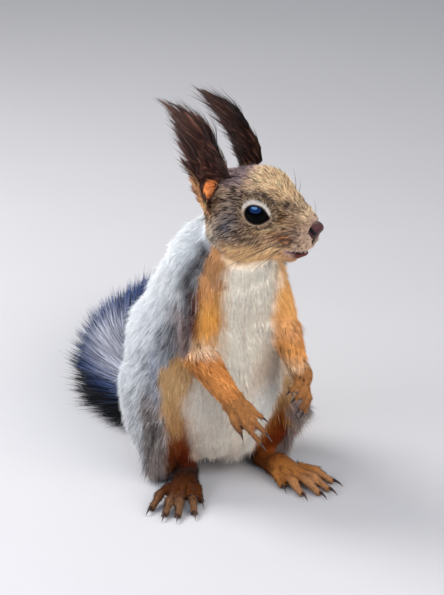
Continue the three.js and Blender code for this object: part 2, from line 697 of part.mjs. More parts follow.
for (const name of Object.keys(SIDES)) {
  const arm = new THREE.Group();
  const { shoulder, elbow, wrist, digits } = ARMS[name];
  const aboveElbow = upperArm(name, GAP);
  add(arm, `upper_arm_${name}`, besideTrunk(cut(upperArm(name), headShell(GAP))), "grey_fur", shoulder);
  add(arm, `forearm_${name}`, besideTrunk(cut(forearm(name), aboveElbow)), "russet_fur", elbow);
  add(arm, `hand_${name}`, besideTrunk(hand(name)), "russet_fur", wrist);
  handClaws(name).forEach((made, i) => add(arm, `finger_claw_${name}_${i + 1}`, made, "claw", digits[i][2]));

  const leg = new THREE.Group();
  const haunch = thigh(name, GAP);
  const heel = footFrame(name)(0, 0, 0).toArray();
  add(leg, `thigh_${name}`, besideTrunk(thigh(name)), "grey_fur", KNEE[name]);
  add(leg, `shank_${name}`, besideTrunk(cut(shank(name), haunch)), "russet_fur", ankleOf(name));
  add(leg, `foot_${name}`, besideTrunk(cut(foot(name), haunch)), "russet_fur", heel);
  footClaws(name).forEach((made, i) =>
    add(leg, `toe_claw_${name}_${i + 1}`, made, "claw", toePath(name, TOES[i])[3].toArray()),
  );
  squirrel.add(arm, leg);
}

// The part's origin is the middle of its footprint, on the floor.
const bounds = new THREE.Box3().setFromObject(squirrel);
const middle = bounds.getCenter(V(0, 0, 0));
squirrel.position.set(-middle.x, -middle.y, -bounds.min.z);

export default squirrel;
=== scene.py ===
"""A sitting red squirrel: one skin, its coat, ears, tail, eyes, nose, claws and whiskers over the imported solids.

Places are millimetres in the squirrel's own frame: +X is its left, the chest looks along -Y, the floor is z = 0.
world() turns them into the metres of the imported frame. Head places are (forward, left, up) from the skull's middle.
"""

import math

import bpy
import numpy as np
from mathutils import Matrix, Vector
from mathutils.bvhtree import BVHTree

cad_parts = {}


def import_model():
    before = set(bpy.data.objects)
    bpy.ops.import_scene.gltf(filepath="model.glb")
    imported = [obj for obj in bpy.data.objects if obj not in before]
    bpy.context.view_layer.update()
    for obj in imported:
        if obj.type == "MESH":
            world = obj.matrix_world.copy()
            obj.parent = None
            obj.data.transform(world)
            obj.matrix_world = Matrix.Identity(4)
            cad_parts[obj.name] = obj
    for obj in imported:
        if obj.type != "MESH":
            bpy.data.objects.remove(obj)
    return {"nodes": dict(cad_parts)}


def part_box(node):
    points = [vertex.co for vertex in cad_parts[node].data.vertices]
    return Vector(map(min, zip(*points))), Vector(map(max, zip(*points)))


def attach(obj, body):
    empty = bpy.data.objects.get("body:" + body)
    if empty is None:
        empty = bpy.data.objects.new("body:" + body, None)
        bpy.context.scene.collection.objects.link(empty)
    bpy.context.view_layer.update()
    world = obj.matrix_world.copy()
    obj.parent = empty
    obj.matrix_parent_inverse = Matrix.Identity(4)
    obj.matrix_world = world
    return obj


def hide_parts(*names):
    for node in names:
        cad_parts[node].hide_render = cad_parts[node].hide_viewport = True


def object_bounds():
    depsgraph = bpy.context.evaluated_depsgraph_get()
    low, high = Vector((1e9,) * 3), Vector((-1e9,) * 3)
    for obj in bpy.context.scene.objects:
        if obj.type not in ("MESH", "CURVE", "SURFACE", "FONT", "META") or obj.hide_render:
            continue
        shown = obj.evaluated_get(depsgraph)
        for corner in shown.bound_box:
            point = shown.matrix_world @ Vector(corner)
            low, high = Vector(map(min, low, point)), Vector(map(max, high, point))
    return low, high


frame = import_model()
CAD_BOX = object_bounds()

bl_info = {
    "name": "Sitting red squirrel",
    "version": (1, 0, 0),
    "blender": (4, 5, 0),
    "location": "3D View > Sidebar > Squirrel",
    "description": "Dresses the packed solids with skin, coat, eyes, claws and whiskers",
    "category": "Object",
}

MM = 0.001
SIDES = {"right": -1, "left": 1}

# ---- The frame: places shared with the solids ----


def turn(axis, degrees):
    """Rotation about an axis."""
    return np.array(Matrix.Rotation(math.radians(degrees), 3, axis))


SKULL = np.array([2.0, -11.0, 142.0])
HEAD = turn("Z", 32) @ turn("X", 1) @ turn("Y", -2)
EYE_PLACE = (15.8, 11.6, 4.0)
EYE_RADIUS = 6.5


def in_head(places):
    """Body places of head places."""
    f, l, u = np.asarray(places, float).T
    return SKULL + np.stack([l, -f, u], -1) @ HEAD.T


def head_way(way):
    """Body direction of a head direction."""
    f, l, u = way
    v = HEAD @ np.array([l, -f, u], float)
    return v / np.linalg.norm(v)


def head_places(points):
    """Head places of body places."""
    q = (points - SKULL) @ HEAD
    return np.stack([-q[:, 1], q[:, 0], q[:, 2]], 1)


def box_middle(node):
    """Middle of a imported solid's box, in millimetres."""
    lo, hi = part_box(node)
    return np.array((lo + hi) / 2) / MM


ORIGIN = (box_middle("eye_left") + box_middle("eye_right")) / 2 - in_head([EYE_PLACE[0], 0, EYE_PLACE[2]])


def world(points):
    """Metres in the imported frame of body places."""
    return (np.asarray(points, float) + ORIGIN) * MM


def body(points):
    """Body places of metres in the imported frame."""
    return np.asarray(points, float) / MM - ORIGIN


# ---- Small maths ----


def ramp(x, low, high):
    """0 before low, 1 past high and smooth between; low may be the larger."""
    t = np.clip((x - low) / (high - low), 0, 1)
    return t * t * (3 - 2 * t)


def bell(x, width):
    """1 at 0 and soft towards 0 past the width."""
    return np.exp(-((x / width) ** 2))


def mix(a, b, t):
    """a where t is 0, b where it is 1."""
    return a + (b - a) * t


def unit(v):
    return v / np.maximum(np.linalg.norm(v, axis=-1, keepdims=True), 1e-9)


def dot(a, b):
    return (a * b).sum(-1, keepdims=True)


def linear(rgb):
    """Linear colour of an sRGB one given in 0..255."""
    c = np.asarray(rgb, float) / 255
    return np.where(c <= 0.04045, c / 12.92, ((c + 0.055) / 1.055) ** 2.4)


def paint(base, rgb, mask):
    """Colours with another laid over them by a mask; a tuple is an sRGB colour."""
    return mix(base, linear(rgb) if isinstance(rgb, tuple) else rgb, np.clip(mask, 0, 1)[:, None])


def blend(low, high, share):
    """Colours between two sRGB ones."""
    return mix(linear(low), linear(high), share[:, None])


def scatter_noise(points, size, seed):
    """Smooth value noise in -1..1 at points, with cells of the given size."""
    q = points / size
    base = np.floor(q).astype(np.int64)
    t = q - base
    t = t * t * (3 - 2 * t)
    out = np.zeros(len(points))
    for corner in range(8):
        step = np.array([corner & 1, corner >> 1 & 1, corner >> 2 & 1])
        cell = base + step
        h = (cell[:, 0] * 73856093) ^ (cell[:, 1] * 19349663) ^ (cell[:, 2] * 83492791) ^ (seed * 2654435761)
        h = (h ^ (h >> 13)) * 1274126177 & 0xFFFFFFFF
        value = ((h ^ (h >> 16)) & 0xFFFF) / 32767.5 - 1
        weight = np.prod(np.where(step, t, 1 - t), axis=1)
        out += weight * value
    return out


def path(places, count):
    """Points evenly along a smooth path through places, and its unit directions."""
    p = np.asarray(places, float)
    p = np.vstack([2 * p[0] - p[1], p, 2 * p[-1] - p[-2]])
    fine = []
    for i in range(1, len(p) - 2):
        p0, p1, p2, p3 = p[i - 1 : i + 3]
        knots = np.cumsum([0, *(np.linalg.norm(b - a) ** 0.5 for a, b in ((p0, p1), (p1, p2), (p2, p3)))])
        t = np.linspace(knots[1], knots[2], 40, endpoint=i == len(p) - 3)[:, None]
        line = lambda a, b, ta, tb: ((tb - t) * a + (t - ta) * b) / (tb - ta)
        a = [line(p[i - 1 + k], p[i + k], knots[k], knots[k + 1]) for k in range(3)]
        b = [line(a[k], a[k + 1], knots[k], knots[k + 2]) for k in range(2)]
        fine.append(line(b[0], b[1], knots[1], knots[2]))
    fine = np.vstack(fine)
    run = np.concatenate([[0], np.cumsum(np.linalg.norm(np.diff(fine, axis=0), axis=1))])
    at = np.linspace(0, run[-1], count)
    points = np.stack([np.interp(at, run, fine[:, k]) for k in range(3)], 1)
    return points, unit(np.gradient(points, axis=0))


# ---- Meshes ----


def make_piece(name, points, faces, colours=None, uv=None):
    """A smooth mesh object from body-frame points and faces of equal size, its place in its mesh."""
    faces = np.asarray(faces, np.int32)
    count, sides = faces.shape
    mesh = bpy.data.meshes.new(name)
    mesh.vertices.add(len(points))
    mesh.vertices.foreach_set("co", world(points).astype(np.float32).ravel())
    mesh.loops.add(count * sides)
    mesh.loops.foreach_set("vertex_index", faces.ravel())
    mesh.polygons.add(count)
    mesh.polygons.foreach_set("loop_start", np.arange(0, count * sides, sides, dtype=np.int32))
    mesh.polygons.foreach_set("use_smooth", np.ones(count, bool))
    mesh.update(calc_edges=True)
    if colours is not None:
        layer = mesh.color_attributes.new("Coat", "FLOAT_COLOR", "POINT")
        rgba = np.concatenate([np.clip(colours, 0, 1), np.ones((len(points), 1))], 1)
        layer.data.foreach_set("color", rgba.astype(np.float32).ravel())
    if uv is not None:
        mesh.uv_layers.new(name="OFBake").data.foreach_set("uv", uv[faces.ravel()].astype(np.float32).ravel())
    ob = bpy.data.objects.new(name, mesh)
    bpy.context.scene.collection.objects.link(ob)
    return ob


def dress(ob, material, slot, *nodes):
    """Gives a finished piece its material and body, and hides the solids that it stands for; slot is not used."""
    ob.data.materials.clear()
    ob.data.materials.append(material)
    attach(ob, "root")
    if nodes:
        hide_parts(*nodes)
    return ob


def shell(node):
    """Merged points, in body millimetres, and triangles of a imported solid."""
    mesh = frame["nodes"][node].data
    co = np.empty(len(mesh.vertices) * 3, np.float32)
    mesh.vertices.foreach_get("co", co)
    mesh.calc_loop_triangles()
    tri = np.empty(len(mesh.loop_triangles) * 3, np.int32)
    mesh.loop_triangles.foreach_get("vertices", tri)
    co = body(co.reshape(-1, 3))
    _, first, back = np.unique(np.round(co, 3), axis=0, return_index=True, return_inverse=True)
    return co[first], back.reshape(-1)[tri].reshape(-1, 3)


def point_normals(points, tri):
    """Outward directions at the points of a triangle mesh."""
    a, b, c = (points[tri[:, k]] for k in range(3))
    across = np.cross(b - a, c - a)
    out = np.zeros_like(points)
    for k in range(3):
        for axis in range(3):
            out[:, axis] += np.bincount(tri[:, k], across[:, axis], len(points))
    return unit(out)


def halves(quads):
    """Two triangles for each quad."""
    return np.vstack([quads[:, [0, 1, 2]], quads[:, [0, 2, 3]]])


def grid_faces(rows, columns, closed=True):
    """Quads over a grid of points, row by row, whose columns may run round."""
    r, c = np.meshgrid(np.arange(rows - 1), np.arange(columns if closed else columns - 1), indexing="ij")
    at = lambda i, j: (i * columns + j % columns).ravel()
    return np.stack([at(r, c), at(r, c + 1), at(r + 1, c + 1), at(r + 1, c)], 1)


def closed_faces(rows, columns, turned=False):
    """Triangles of a round grid of points whose two ends meet in the two points that come last."""
    quads, k = grid_faces(rows, columns), np.arange(columns)
    end, top = (rows - 1) * columns, rows * columns
    first = np.stack([np.full(columns, top), (k + 1) % columns, k], 1)
    last = np.stack([np.full(columns, top + 1), end + k, end + (k + 1) % columns], 1)
    if turned:
        quads, first, last = quads[:, ::-1], first[:, ::-1], last[:, ::-1]
    return np.vstack([halves(quads), first, last])


def tube(centres, side, widths, depths, sides=12):
    """Points and triangles of a closed tube whose ends taper to a point."""
    along = unit(np.gradient(centres, axis=0))
    across = unit(side - dot(side, along) * along)
    third = np.cross(along, across)
    angle = np.linspace(0, 2 * math.pi, sides, endpoint=False)
    ring = (
        centres[:, None]
        + across[:, None] * (widths[:, None] * np.cos(angle))[..., None]
        + third[:, None] * (depths[:, None] * np.sin(angle))[..., None]
    ).reshape(-1, 3)
    ends = [centres[0], centres[-1] + along[-1] * widths[-1] * 0.6]
    return np.vstack([ring, *ends]), closed_faces(len(centres), sides)


class Web:
    """The edges of a mesh, for averaging what lies at its points."""

    def __init__(self, faces, count):
        pairs = np.vstack([np.stack([faces[:, k], np.roll(faces, -1, 1)[:, k]], 1) for k in range(faces.shape[1])])
        pairs = np.unique(np.sort(pairs, 1), axis=0)
        self.a, self.b, self.count = pairs[:, 0], pairs[:, 1], count
        self.degree = np.maximum(np.bincount(pairs.ravel(), minlength=count), 1)

    def mean(self, values):
        flat = values.reshape(self.count, -1)
        out = np.empty_like(flat)
        for k in range(flat.shape[1]):
            v = flat[:, k]
            out[:, k] = np.bincount(self.a, v[self.b], self.count) + np.bincount(self.b, v[self.a], self.count)
        return (out / self.degree[:, None]).reshape(values.shape)

    def smooth(self, values, times, share=0.5):
        for _ in range(times):
            values = values + share * (self.mean(values) - values)
        return values

    def pieces(self):
        """A label for each point, the same all over one joined surface."""
        label = np.arange(self.count)
        while True:
            low = np.minimum(label[self.a], label[self.b])
            new = label.copy()
            np.minimum.at(new, label[self.a], low)
            np.minimum.at(new, label[self.b], low)
            new = new[new]
            new = new[new]
            if (new == label).all():
                return label
            label = new


# ---- Settings ----


def length(name, text, default):
    return bpy.props.FloatProperty(name=name, description=text, default=default, unit="LENGTH", min=0)


def part_of(name, text, default):
    return bpy.props.FloatProperty(
        name=name, description=text, default=default, min=0.05, max=1, subtype="FACTOR"
    )


def colour(name, text, rgb):
    return bpy.props.FloatVectorProperty(
        name=name, description=text, default=tuple(linear(rgb)), subtype="COLOR", size=3, min=0, max=1
    )


class SquirrelShape(bpy.types.PropertyGroup):
    voxel: length("Skin cell", "Edge of the cells that the skin is made from", 0.0005)
    skin_share: part_of("Skin share", "Share of the skin's faces that is kept", 0.34)
    trunk_depth: length("Trunk coat depth", "How far the trunk's skin lies under the tips of its coat", 0.0034)
    head_depth: length("Head coat depth", "How far the head's skin lies under the tips of its coat", 0.0011)
    eye_long: length("Eye opening, long", "Length of the opening between the lids", 0.0104)
    eye_high: length("Eye opening, high", "Height of the opening between the lids", 0.0079)


class SquirrelCoat(bpy.types.PropertyGroup):
    fullness: part_of("Fullness", "Share of the full number of tufts", 1.0)
    body_length: length("Body hair", "Length of the trunk's hair", 0.010)
    head_length: length("Head hair", "Length of the hair on the cheeks and crown", 0.0042)
    tail_length: length("Tail hair", "How far the tail's hair runs along it", 0.030)
    tuft_length: length("Ear tufts", "Length of the hair at the tips of the ears", 0.029)
    white: colour("White", "Breast and belly", (252, 237, 218))
    silver: colour("Silver", "Back and nape", (236, 239, 243))
    grey: colour("Grey", "Flanks and haunches", (206, 208, 213))
    slate: colour("Slate", "Dark streak behind the shoulder", (42, 36, 41))
    rufous: colour("Rufous", "Shoulder and arms", (214, 148, 74))
    ochre: colour("Ochre", "Edge of the belly", (226, 174, 118))
    # Umber is darker than the shanks' own deep orange: part of it is painted shade.
    umber: colour("Umber", "Shanks and feet", (76, 24, 4))
    tan: colour("Tan", "Forehead and toes", (230, 188, 148))
    ear: colour("Ear hair", "Dark hair of the ears", (82, 50, 42))
    tail: colour("Tail hair colour", "Middle of the tail's hair", (166, 166, 178))


class SquirrelStage(bpy.types.PropertyGroup):
    floor: colour("Floor", "Plain pale floor", (190, 188, 190))
    sky: bpy.props.FloatProperty(name="Sky", description="Strength of the light from all round", default=0.42, min=0)


def shape():
    return bpy.context.scene.squirrel_shape


def coat():
    return bpy.context.scene.squirrel_coat


def tint(name):
    """Linear colour from the coat's settings."""
    return np.array(getattr(coat(), name))


# ---- Materials ----


class Nodes:
    """A new material with a few short calls for its nodes."""

    def __init__(self, name, **sockets):
        self.material = bpy.data.materials.new(name)
        self.material.use_nodes = True
        self.tree = self.material.node_tree
        self.shader = self.tree.nodes["Principled BSDF"]
        self.object = self.add("ShaderNodeTexCoord").outputs["Object"]
        for socket, value in sockets.items():
            self.shader.inputs[socket.replace("_", " ")].default_value = value

    def add(self, kind, **fields):
        node = self.tree.nodes.new(kind)
        for key, value in fields.items():
            setattr(node, key, value)
        return node

    def link(self, a, b):
        self.tree.links.new(a, b)
        return b

    def noise(self, scale, detail=3, roughness=0.6, vector=None):
        node = self.add("ShaderNodeTexNoise")
        node.inputs["Scale"].default_value = scale
        node.inputs["Detail"].default_value = detail
        node.inputs["Roughness"].default_value = roughness
        self.link(vector or self.object, node.inputs["Vector"])
        return node.outputs["Fac"]

    def spread(self, value, low, high):
        node = self.add("ShaderNodeMapRange")
        node.inputs["From Min"].default_value = 0.25
        node.inputs["From Max"].default_value = 0.75
        node.inputs["To Min"].default_value = low
        node.inputs["To Max"].default_value = high
        self.link(value, node.inputs["Value"])
        return node.outputs["Result"]

    def marked(self, scale, low, high):
        """The coat's own colours, lighter and darker by a fine noise."""
        layer = self.add("ShaderNodeAttribute", attribute_name="Coat", attribute_type="GEOMETRY")
        shade = self.add("ShaderNodeVectorMath", operation="SCALE")
        self.link(layer.outputs["Color"], shade.inputs["Vector"])
        self.link(self.spread(self.noise(scale), low, high), shade.inputs["Scale"])
        return self.link(shade.outputs["Vector"], self.shader.inputs["Base Color"])

    def bump(self, height, strength, distance):
        node = self.add("ShaderNodeBump")
        node.inputs["Strength"].default_value = strength
        node.inputs["Distance"].default_value = distance
        self.link(height, node.inputs["Height"])
        self.link(node.outputs["Normal"], self.shader.inputs["Normal"])

    def rough(self, scale, low, high):
        self.link(self.spread(self.noise(scale), low, high), self.shader.inputs["Roughness"])


def fur_material(name, low=0.88, high=1.12, through=0.0):
    """Hair with its pieces' own colours; through is how far light goes into it."""
    n = Nodes(name, Specular_IOR_Level=0.1, Sheen_Weight=0.05, Sheen_Roughness=0.4, Subsurface_Weight=through,
              Subsurface_Radius=(1.0, 0.85, 0.7), Subsurface_Scale=0.0012)
    n.marked(620, low, high)
    n.rough(900, 0.5, 0.72)
    return n.material


def skin_material():
    """The ground of short fur under the tufts."""
    n = Nodes("short_fur", Specular_IOR_Level=0.1, Sheen_Weight=0.05, Sheen_Roughness=0.5)
    n.marked(480, 0.82, 1.16)
    n.rough(500, 0.6, 0.8)
    n.bump(n.noise(1500, 5, 0.7), 0.5, 0.0004)
    return n.material


# ---- Skin ----

FLESH = ["torso", "neck", "head"] + [
    f"{part}_{side}"
    for part in ("upper_arm", "forearm", "hand", "thigh", "shank", "foot")
    for side in ("right", "left")
]
ARMS = {
    "right": ([-16.5, -7, 106.5], [-24.4, -16.4, 76.2], [-17, -32, 59.2], [-8, -40, 42]),
    "left": ([18, -5, 107], [24.5, -11, 81], [22.6, -28.4, 65.8], [22, -32, 44]),
}
FINGERS = {
    "right": [
        [[-12, -34.5, 57], [-6, -40, 49.5], [-2, -41.3, 46]],
        [[-12.5, -36, 54.5], [-7.4, -43, 45.7], [-2.5, -45, 39.7]],
        [[-14.5, -36.5, 52.5], [-10.1, -43, 42.4], [-5.6, -45.4, 35.4]],
        [[-16.5, -35, 51.5], [-14.8, -38.9, 43.2], [-12.6, -39.5, 39.5]],
    ],
    "left": [
        [[23.5, -32, 57.5], [20, -34.5, 55.2], [17.6, -32.6, 52.4]],
        [[24.5, -33, 56], [22.3, -35.8, 51], [20, -33.6, 48.2]],
        [[25.8, -32.5, 55], [25.2, -35.6, 47.6], [22.2, -34, 42.6]],
        [[27, -31, 54], [27.6, -33, 45.5], [25.6, -32.2, 39.6]],
    ],
}
FINGER = (2.5, 1.75)
TOE = (2.9, 2.1)
TOES = [(-17, 31), (-9, 43), (1, 46.5), (9, 46), (20, 42)]  # turn in degrees and reach from the heel
HEEL = {"right": (-19, 3), "left": (20, 0)}
FOOT_TURN = {"right": 32, "left": 8}
EAR_ROOT = {"right": (-4.9, -12.3, 7), "left": (2.6, 14.4, 8.5)}
EAR_WAY = {"right": (-0.12, -0.13, 0.98), "left": (-0.27, 0.1, 0.95)}
TUFT_WAY = {"right": (-0.95, -0.1, 0.32), "left": (-0.98, 0.02, 0.06)}
EAR_MOUTH = {"right": (0.55, -0.8, 0.25), "left": (0.55, 0.8, 0.25)}
EAR_LENGTH = 29

SMOOTHING = 70  # the most times that any part of the skin is smoothed
FLOOR_GAP = 0.25  # how far the skin stays above the floor
# Each kind of part: passes of smoothing, width of its hair in millimetres, and tufts on a square millimetre.
KINDS = {
    "torso": (70, 0.42, 4.9), "neck": (60, 0.4, 5.4), "head": (10, 0.34, 9.0), "upper_arm": (30, 0.4, 5.4),
    "forearm": (18, 0.42, 4.4), "hand": (4, 0.3, 7.0), "thigh": (60, 0.42, 4.9), "shank": (16, 0.42, 3.6),
    "foot": (4, 0.34, 4.6),
}
HIDE = {}  # the skin's points, normals, lie of the coat and markings, for the pieces that grow from it


def slant_of(p):
    """How far back places lie round the trunk, from 0 at the breast to -45 at the back."""
    return -0.883 * np.abs(p[:, 0]) - 0.469 * p[:, 1]


def lip_lines(f):
    """Heights of the upper and the lower lip's edge along the muzzle."""
    upper = np.interp(f, [25, 33, 46], [-17.2, -15.2, -13.4])
    lower = np.interp(f, [25, 30, 37, 46], [-17.2, -17.2, -16.4, -15.6])
    return upper, lower


def remeshed(points, tri, voxel):
    """One even skin of quads over overlapping closed shells."""
    ob = make_piece("flesh", points, tri)
    change = ob.modifiers.new("skin", "REMESH")
    change.mode = "VOXEL"
    change.voxel_size = voxel
    mesh = bpy.data.meshes.new_from_object(ob.evaluated_get(bpy.context.evaluated_depsgraph_get()))
    co = np.empty(len(mesh.vertices) * 3, np.float32)
    mesh.vertices.foreach_get("co", co)
    quads = np.empty(len(mesh.loops), np.int32)
    mesh.loops.foreach_get("vertex_index", quads)
    if len(quads) != 4 * len(mesh.polygons):
        raise RuntimeError("the remeshed skin isn't all quads")
    bpy.data.objects.remove(ob)
    return body(co.reshape(-1, 3)), quads.reshape(-1, 4)


def eye_middle(s):
    """Middle of an eyeball; s is -1 on the right and 1 on the left."""
    return in_head([EYE_PLACE[0], EYE_PLACE[1] * s - 0.4 * (s + 1), EYE_PLACE[2]])


def eye_axes(s):
    """Outward, forward and upward directions of an eye."""
    out = head_way((0.4, s, 0.12))
    forward = head_way((1, 0, -0.3))
    forward = unit(forward - (forward @ out) * out)
    up = np.cross(forward, out) * s
    return out, forward, up * np.sign(up[2])


def ear_hollow(p):
    """1 where the head lies in the dark mouth of an ear, behind the hair that closes its front."""
    q = head_places(p)
    out = np.zeros(len(p))
    for name in SIDES:
        root, way = np.array(EAR_ROOT[name], float), unit(np.array(EAR_WAY[name], float))
        run = np.clip((q - root) @ way, -9, 15)
        away = np.linalg.norm(q - root - run[:, None] * way, axis=1)
        front = root[0] - 0.6 - 0.31 * (root[2] + 4 - q[:, 2])
        out = np.maximum(out, ramp(away, 8.4, 6.8) * ramp(front - q[:, 0], -0.8, 0.8))
    return out


def lid_opening(turned):
    """Radius of the opening between the lids at an angle from the front corner."""
    long, high = shape().eye_long / MM / 2 - 0.35, shape().eye_high / MM / 2
    oval = long * high / np.hypot(high * np.cos(turned), long * np.sin(turned))
    away = np.abs((turned + math.pi) % (2 * math.pi) - math.pi)
    return oval + 1.25 * np.exp(-((away / 0.3) ** 1.6))


def round_eye(p, s):
    """How far places lie past the rim of the lids, their angle from the front corner, and their height outwards."""
    out, forward, up = eye_axes(s)
    away = p - eye_middle(s)
    x, y = away @ forward, away @ up
    turned = np.arctan2(y, x)
    return np.hypot(x, y) - lid_opening(turned), turned, away @ out


def ball_height(reach):
    """Height of the eyeball's surface above its middle at a reach from its axis."""
    return np.sqrt(np.maximum(EYE_RADIUS**2 - reach**2, 1))


def ring_width(turned):
    """Width of the pale ring round the eye, widest above it."""
    return 1.2 + 1.5 * np.maximum(0, np.sin(turned - 0.25))


def ring_mask(past, turned):
    """1 on the pale ring round the eye."""
    return ramp(past, ring_width(turned) + 0.5, ring_width(turned) - 0.4)


def toe_line(name, turned, reach):
    """Path of a toe's middle from the heel's side to its tip."""
    s = SIDES[name]
    a = math.radians(FOOT_TURN[name]) * s
    forward, outward = np.array([math.sin(a), -math.cos(a), 0]), np.array([math.cos(a), math.sin(a), 0]) * s
    sideways, ahead = math.sin(math.radians(turned)), math.cos(math.radians(turned))
    heel = np.array([*HEEL[name], 0.0])
    place = lambda far, up: heel + outward * sideways * far + forward * ahead * far + [0, 0, up]
    return [place(reach - 21, 3.6), place(reach - 12, 5), place(reach - 5, 2.7), place(reach, 1.4)]


def between_digits(p):
    """1 in the clefts between fingers or toes, and 0 on them and elsewhere."""
    out = np.zeros(len(p))
    for name in SIDES:
        for lines, size in (
            (FINGERS[name], FINGER),
            ([toe_line(name, *toe) for toe in TOES], TOE),
        ):
            gaps, run = [], np.zeros(len(p))
            for line in lines:
                places, _ = path(line, 16)
                away = np.linalg.norm(p[:, None] - places, axis=2)
                k = away.argmin(1)
                gap = away.min(1) - mix(size[0], size[1], k / 15)
                run = np.where(gap < np.min(gaps, 0) if gaps else True, k / 15, run)
                gaps.append(gap)
            best, second = np.sort(gaps, 0)[:2]
            apart = ramp(second - best, 1.4, 0.3) * ramp(best, 0.2, 0.7) * ramp(best, 2.2, 1.5)
            out = np.maximum(out, apart * ramp(run, 0.08, 0.25))
    return out


def part_share(web, part):
    """How far each point belongs to each part of the body, with soft borders."""
    share = {}
    for k, name in enumerate(FLESH):
        share[name] = web.smooth((part == k).astype(float), 10, 0.8)
    total = sum(share.values())
    return {name: value / total for name, value in share.items()}


def by_part(share, values):
    """A value for each point from one for each kind of part."""
    out = 0
    for name, value in share.items():
        out = out + value * values.get(name.replace("_right", "").replace("_left", ""), 0.0)
    return out


def build_skin():
    """The one skin over all the flesh, sunk under the tips of its coat."""
    points, tris, where, base = [], [], [], 0
    for k, node in enumerate(FLESH):
        p, t = shell(node)
        tris.append(t + base)
        points.append(p + point_normals(p, t) * (0.17 if node.startswith(("hand", "foot")) else 0.32))
        where.append(np.full(len(t), k))
        base += len(p)
    points, tris, where = np.vstack(points), np.vstack(tris), np.concatenate(where)
    tree = BVHTree.FromPolygons(points.tolist(), tris.tolist())
    p, quads = remeshed(points, tris, shape().voxel)
    web = Web(quads, len(p))
    label = web.pieces()
    keep = label == np.bincount(label).argmax()
    number = np.cumsum(keep) - 1
    quads = number[quads[keep[quads[:, 0]]]]
    p = p[keep]
    web = Web(quads, len(p))
    part = np.array([where[tree.find_nearest(Vector(q))[2]] for q in p.tolist()])
    share = part_share(web, part)

    passes = by_part(share, {kind: row[0] for kind, row in KINDS.items()})
    passes = mix(passes, 2, share["head"] * ramp(head_places(p)[:, 0], 22, 28))
    swell = by_part(share, {"hand": 1, "foot": 1, "forearm": 0.6, "head": 0.7, "shank": 0.5})
    for k in range(SMOOTHING):
        step = 0.8 * np.clip(passes - k, 0, 1)[:, None]
        if not step.any():
            break
        p = p + step * (web.mean(p) - p)
        p = p - step * 1.03 * swell[:, None] * (web.mean(p) - p)

    tri = halves(quads)
    normal = point_normals(p, tri)
    soft = web.smooth(normal, 6)
    trunk, head = shape().trunk_depth / MM, shape().head_depth / MM
    depth = by_part(
        share,
        {"torso": trunk, "neck": trunk * 0.8, "thigh": trunk * 0.95, "upper_arm": 2, "forearm": 1.1, "shank": 1.2,
         "head": head, "hand": 0.22, "foot": 0.15},
    ) + 0.3
    back = ramp(slant_of(p), -33, -43) * (share["torso"] + share["neck"])
    depth = depth + back * (0.5 + 3.2 * bell(p[:, 2] - 99, 16))
    f, l, u = head_places(p).T
    bare = share["head"] * ramp(f, 26, 38)
    depth = mix(depth, 0.25, bare)
    depth = depth + 1.1 * share["head"] * ramp(f, 36, 40) * bell(u + 10, 3.5)
    depth = depth - 0.6 * share["head"] * bell(lip_lines(f)[1] - u - 1.2, 1.0) * ramp(f, 29, 34)
    bridge = 1.1 * ramp(f, 30, 35) * ramp(u, 0, 4)
    chin = 0.95 * np.clip(-16.9 + (f - 37.1) * 0.617 - u, 0, 3.4) * ramp(f, 29, 33)
    jaw = 1.3 * bell(f - 27, 4) * ramp(u, -16.5, -19.5)
    depth = depth + share["head"] * (bridge + chin - jaw)
    outer = p
    paws = share["hand_right"] + share["hand_left"] + share["foot_right"] + share["foot_left"]
    cleft = np.zeros(len(p))
    near = paws > 0.3
    cleft[near] = between_digits(p[near])
    depth = depth + 0.7 * cleft + 1.4 * ear_hollow(p) * share["head"]
    HIDE["cleft"] = cleft
    p = p - unit(soft) * depth[:, None]
    p[:, 2] = np.maximum(p[:, 2], FLOOR_GAP)
    normal = point_normals(p, tri)
    HIDE.update(outer=outer, points=p, quads=quads, tri=tri, web=web, share=share, part=part, normal=normal)


# ---- Markings ----


# Where markings end, as slants at heights: the white of the belly, the grey of the flanks, the silver of the back.
WHITE_NEAR = [20, 30, 48, 60, 70, 84, 100, 113, 122], [-15, -17, -20, -15, -2, -0.5, 1, 1.5, 0]
WHITE_FAR = [20, 31, 40, 50, 62, 72, 84, 113, 122], [-6, -8, -14, -19, -17, -12, -13, -12, -10]
GREY_NEAR = (
    [0, 20, 30, 39, 54, 62, 72, 80, 87, 97, 112, 122, 130],
    [-29, -28, -26, -29.5, -33.5, -32, -22, -15, -13.5, -13, -13.5, -7, -5],
)
GREY_FAR = (
    [0, 20, 30, 40, 54, 62, 72, 80, 87, 97, 112, 122, 130],
    [-18, -19, -20, -26, -32, -31, -28, -26, -24, -22, -18, -11, -8],
)
SILVER = [35, 57, 80, 96, 116, 130], [-46, -42, -35, -23, -13, -12]
STREAK = [80, 93, 100, 110, 122], [-14, -15.5, -16.5, -18.5, -10]


